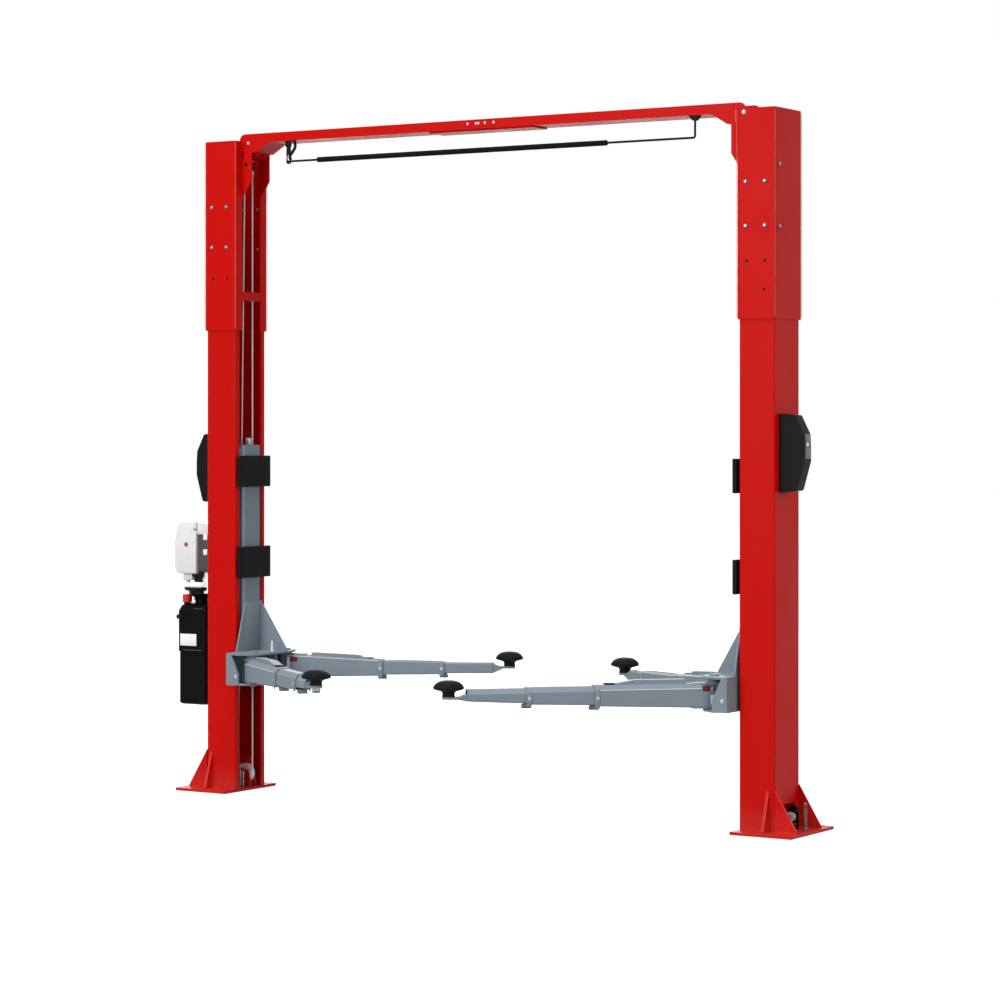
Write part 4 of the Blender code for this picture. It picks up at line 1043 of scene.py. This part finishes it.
def powerUnit(values):
    motorHood(values)
    for name in ("motor_plates", "switch_box", "pump_flange"):
        unitPiece(name)
    form = bmesh.new()
    rings = values["neckRings"]
    addStack(form, values["neck"], (0, 0, 1), [(rings["low"] + ring * rings["pitch"], *rings["disc"])
                                               for ring in range(rings["count"])])
    makePiece("tank_neck_rings", form, "blownPolyethylene", "structure")
    unitPiece("tank_label")
    # grey lines on the black tank: painted highlights along its band and its shoulder
    form = bmesh.new()
    for line, radius in values["tankHighlightLines"]:
        addTube(form, line, radius)
    makePiece("tank_highlight_lines", form, "darkMotorPaint", "structure")
    form = bmesh.new()
    for spot in values["tankBolts"]:
        addBolt(form, spot, (0, 0, 1), values["tankBoltSize"])
    makePiece("tank_bolts", form, "zincPlatedSteel", "structure")


powerUnit(unitValues)
print("power unit done")


# Arms: strap, bolts and stop pad at each stage's mouth, wear block, root plug, pale lines of painted
# highlight on the folds and the root's edge, and a thin black strip on the rear arms' middle stage. All is
# placed along the arm, from its pivot

armValues = {
    "kinds": {"left_front": "front", "left_rear": "rear", "right_front": "front", "right_rear": "rear"},
    "front": {"length": 0.630, "root": 0.752, "mouth": (0.646, 0.751), "tip": (0.660, 0.7455), "drop": 0.025,
              "plug": 0.728, "plugSide": 1, "rootHighlight": (0.648, 0.694)},
    "rear": {"length": 0.560, "root": 0.764, "mouth": (0.646, 0.738), "tip": (0.656, 0.728), "drop": 0.008,
             "plug": 0.737, "plugSide": -1, "rootHighlight": (0.644, 0.748)},
    "middleReach": 0.347, "half": 0.050, "middleHalf": 0.0415, "strapDrop": 0.006,
}
strapValues = {"back": 0.026, "front": 0.001, "gap": 0.0018, "thick": 0.0014, "below": 0.008, "edge": 0.0006,
               "bolt": {"back": 0.014, "gap": 0.0032, "above": 0.004, "size": 0.0085},
               "pad": {"back": 0.028, "front": 0.018, "half": 0.024, "below": (0.0185, 0.0142),
                       "edge": 0.0015}}
wearBlockValues = {"from": 0.110, "to": 0.060, "half": 0.026, "sunk": 0.001, "rise": 0.008, "edge": 0.002}
plugValues = {"across": 0.0545, "half": (0.0165, 0.0105), "squareness": 0.5, "steps": 24, "sunk": 0.0005,
              "edge": 0.0005, "parts": [("plug_frame", 0.0035, 0.0012, "blackStovePaint"),
                                        ("plug", 0.0, 0.0022, "darkRedPlastic")]}
foldHighlightValues = {"from": 0.0160, "short": 0.0270, "sunk": 0.0003, "radius": 0.0014,
              "root": {"from": 0.0150, "to": 0.0300, "gaps": (0.0002, 0.0012), "edge": 0.0004}}
topStripValues = {"from": 0.060, "to": 0.330, "half": 0.020, "thick": 0.0003, "lift": 0.0001, "sunk": 0.0055}


def armPlace(name):    # stands on the arm's pivot, with X along the arm
    pivot = joints[name + "_swing"]["pos_m"]
    along = joints[name + "_middle_slide"]["axis"]
    turn = math.atan2(along[1], along[0])
    return Matrix.Translation((pivot[0], pivot[1], 0)) @ Matrix.Rotation(turn, 4, "Z")


def armStrap(name, body, matrix, mouth, under, top, half, values):    # folded round the mouth of one stage
    form = bmesh.new()
    for hand in (-1, 1):
        middle = hand * (half + values["gap"])
        addBlock(form, (mouth - values["back"], middle - values["thick"], under - values["below"]),
                 (mouth - values["front"], middle + values["thick"], top), values["edge"])
    makePiece(name + "_strap", form, "greyMachineEnamel", body, matrix)
    form = bmesh.new()
    bolt = values["bolt"]
    for hand in (-1, 1):
        place = (mouth - bolt["back"], hand * (half + bolt["gap"]), (under + top) / 2 + bolt["above"])
        addBolt(form, place, (0, hand, 0), bolt["size"])
    makePiece(name + "_strap_bolts", form, "zincPlatedSteel", body, matrix)
    form = bmesh.new()
    pad = values["pad"]
    addBlock(form, (mouth - pad["back"], -pad["half"], under - pad["below"][0]),
             (mouth + pad["front"], pad["half"], under - pad["below"][1]), pad["edge"])
    makePiece(name + "_stop_pad", form, "mouldedRubber", body, matrix)


def rootPlug(name, matrix, height, hand, half, values):    # a rounded plug in its dark frame
    wide, tall = values["half"]
    turns = [2 * math.pi * (step + 0.5) / values["steps"] for step in range(values["steps"])]
    power = values["squareness"]
    for part, grow, rise, finish in values["parts"]:
        outline = []
        for turn in turns:
            across = math.copysign(abs(math.cos(turn)) ** power, math.cos(turn))
            up = math.copysign(abs(math.sin(turn)) ** power, math.sin(turn))
            outline.append((values["across"] + (wide + grow) * across, height + (tall + grow) * up))
        near, far = sorted((-hand * (half - values["sunk"]), -hand * (half + rise)))
        form = bmesh.new()
        addPlate(form, outline, near, far, upright, values["edge"])
        makePiece(name + "_" + part, form, finish, "arm_outer_" + name, matrix)


def paintedFoldHighlights(name, matrix, make, half, values):    # painted highlights: pale lines along the top folds and at the cut of the root
    sideTop = make["root"] - make["drop"]
    form = bmesh.new()
    for side in (-1, 1):
        face = side * (half - values["sunk"])
        start = Vector((values["from"], face, sideTop))
        end = Vector((make["length"] - values["short"], face, make["mouth"][1] - make["drop"]))
        addDisc(form, start, end - start, values["radius"], (end - start).length, 10)
    makePiece(name + "_fold_highlights", form, "paleEdgePaint", "arm_outer_" + name, matrix)
    form = bmesh.new()
    root = values["root"]
    near, far = sorted(make["plugSide"] * (half + gap) for gap in root["gaps"])
    low, high = make["rootHighlight"]
    addBlock(form, (root["from"], near, low), (root["to"], far, high), root["edge"])
    makePiece(name + "_root_edge_highlight", form, "paleEdgePaint", "arm_outer_" + name, matrix)


# a thin black strip on the rear arms' middle stage, 0.3 mm thick
def darkTopStrip(name, matrix, make, reach, values):    # lies on the middle stage's top and follows its slope
    form = bmesh.new()
    addBlock(form, (0, -values["half"], 0), (1, values["half"], values["thick"]), 0)
    low = make["mouth"][1] - values["sunk"]
    high = make["tip"][1]
    for vert in form.verts:
        along = values["from"] + (values["to"] - values["from"]) * vert.co.x
        vert.co.x = make["length"] + along
        vert.co.z += low + (high - low) * along / reach + values["lift"]
    makePiece(name + "_dark_top_strip", form, "mouldedRubber", "arm_middle_" + name, matrix)


def armFittings(name, values):
    kind = values["kinds"][name]
    make = values[kind]
    matrix = armPlace(name)
    length = make["length"]
    half = values["half"]
    fall = make["drop"] + values["strapDrop"]
    low, high = make["mouth"]
    armStrap(name + "_outer", "arm_outer_" + name, matrix, length, low, high - fall, half, strapValues)
    low, high = make["tip"]
    armStrap(name + "_middle", "arm_middle_" + name, matrix, length + values["middleReach"], low, high - fall,
             values["middleHalf"], strapValues)
    form = bmesh.new()
    level = make["mouth"][1]
    wear = wearBlockValues
    addBlock(form, (length - wear["from"], -wear["half"], level - wear["sunk"]),
             (length - wear["to"], wear["half"], level + wear["rise"]), wear["edge"])
    makePiece(name + "_wear_block", form, "mouldedRubber", "arm_outer_" + name, matrix)
    rootPlug(name, matrix, make["plug"], make["plugSide"], half, plugValues)
    paintedFoldHighlights(name, matrix, make, half, foldHighlightValues)
    if kind == "rear":
        darkTopStrip(name, matrix, make, values["middleReach"], topStripValues)


for name in armValues["kinds"]:
    armFittings(name, armValues)


# The pad on the folded arm stands on a bright cap nut with a washer

capNutValues = {"arm": "left_front", "parts": [(0.6640, 0.0180, 0.0125, 0.0215, 32),
                                               (0.6820, 0.0050, 0.0215, 0.0215, 32),
                                               (0.6870, 0.0028, 0.0258, 0.0258, 32)]}


def capNut(values):
    low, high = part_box("lift_pad_" + values["arm"])
    middle = (low + high) / 2
    form = bmesh.new()
    addStack(form, (0, 0, 0), (0, 0, 1), values["parts"])
    turn = armPlace(values["arm"]).to_euler().z
    makePiece("cap_nut", form, "zincPlatedSteel", "arm_inner_" + values["arm"],
              Matrix.Translation((middle.x, middle.y, 0)) @ Matrix.Rotation(turn, 4, "Z"))


capNut(capNutValues)


# The bent hook beside the free end of the shut-off bar, on its ear under a thin plate

hookValues = {"line": [(0.461, 3.634), (0.467, 3.605), (0.452, 3.578), (0.433, 3.556), (0.431, 3.542),
                       (0.438, 3.534)], "offset": -0.0745, "radius": 0.0085,
              "ear": [(0.402, -0.0810, 3.604), (0.440, -0.0680, 3.6362)], "earEdge": 0.003,
              "plate": [(0.400, -0.0825, 3.6310), (0.472, -0.0665, 3.6365)], "plateEdge": 0.001}


def barHook(values):
    form = bmesh.new()
    addTube(form, [(across, values["offset"], height) for across, height in values["line"]], values["radius"])
    addBlock(form, *values["ear"], values["earEdge"])
    addBlock(form, *values["plate"], values["plateEdge"])
    makePiece("bar_hook", form, "blackStovePaint", "structure")


barHook(hookValues)
print("arm fittings done")


# Studio: pale floor that keeps the shadow, white surroundings, large soft lamps

studioValues = {"floorSize": 80, "floorMiddle": (1.7, 0, -0.0005), "floorColour": "#8C8C8C",
                "floorRoughness": 0.8, "floorGlow": 0.85, "world": 0.34, "lamps": [
    {"name": "key", "place": (-0.8, -18.0, 7.5), "aim": (1.7, 0, 1.8), "size": 9.0, "power": 2250},
    {"name": "top", "place": (1.7, -3.0, 17.0), "aim": (1.7, 0, 0), "size": 9.0, "power": 2000},
    {"name": "side", "place": (13.0, -2.0, 4.0), "aim": (3.4, 0, 1.6), "size": 5.0, "power": 330},
    {"name": "rear", "place": (-6.0, 12.0, 6.0), "aim": (1.7, 0, 1.8), "size": 6.0, "power": 800},
]}


def whereShown(tree):    # 1 where the camera sees the surface, straight, mirrored or through glass
    path = addNode(tree, "ShaderNodeLightPath")
    seen = addNode(tree, "ShaderNodeMath", {"operation": "MAXIMUM"},
                   {0: path.outputs["Is Camera Ray"], 1: path.outputs["Is Transmission Ray"]})
    return addNode(tree, "ShaderNodeMath", {"operation": "MAXIMUM"},
                   {0: seen.outputs[0], 1: path.outputs["Is Glossy Ray"]}).outputs[0]


def makeWorld(values):    # white where it is seen, dimmer where it only lights
    world = bpy.data.worlds.new("studio")
    bpy.context.scene.world = world
    world.use_nodes = True
    tree = world.node_tree
    back = tree.nodes["Background"]
    back.inputs["Color"].default_value = (1, 1, 1, 1)
    back.inputs["Strength"].default_value = values["world"]
    white = addNode(tree, "ShaderNodeBackground", {"Color": (1, 1, 1, 1), "Strength": 1.0})
    mix = addNode(tree, "ShaderNodeMixShader", None,
                  {0: whereShown(tree), 1: back.outputs[0], 2: white.outputs[0]})
    tree.links.new(mix.outputs[0], tree.nodes["World Output"].inputs["Surface"])


def makeFloor(values):    # glows to white where it is seen, so that only the shadow stays
    form = bmesh.new()
    bmesh.ops.create_grid(form, x_segments=1, y_segments=1, size=values["floorSize"] / 2)
    mesh = bpy.data.meshes.new("floor")
    form.to_mesh(mesh)
    form.free()
    floor = bpy.data.objects.new("floor", mesh)
    bpy.context.scene.collection.objects.link(floor)
    floor.location = values["floorMiddle"]
    material = bpy.data.materials.new("paleFloor")
    material.use_nodes = True
    tree = material.node_tree
    pale = tree.nodes["Principled BSDF"]
    pale.inputs["Base Color"].default_value = linear(values["floorColour"])
    pale.inputs["Roughness"].default_value = values["floorRoughness"]
    glow = addNode(tree, "ShaderNodeEmission", {"Color": (1, 1, 1, 1), "Strength": values["floorGlow"]})
    both = addNode(tree, "ShaderNodeAddShader", None, {0: glow.outputs[0], 1: pale.outputs[0]})
    mix = addNode(tree, "ShaderNodeMixShader", None,
                  {0: whereShown(tree), 1: pale.outputs[0], 2: both.outputs[0]})
    tree.links.new(mix.outputs[0], tree.nodes["Material Output"].inputs["Surface"])
    mesh.materials.append(material)


def makeLamps(values):
    for lamp in values["lamps"]:
        light = bpy.data.lights.new(lamp["name"], "AREA")
        light.size = lamp["size"]
        light.energy = lamp["power"]
        shown = bpy.data.objects.new(lamp["name"], light)
        bpy.context.scene.collection.objects.link(shown)
        shown.location = lamp["place"]
        aim = Vector(lamp["aim"]) - Vector(lamp["place"])
        shown.rotation_euler = aim.to_track_quat("-Z", "Y").to_euler()


makeWorld(studioValues)
makeFloor(studioValues)
makeLamps(studioValues)
bpy.context.scene.view_settings.view_transform = "Standard"
print("studio done")
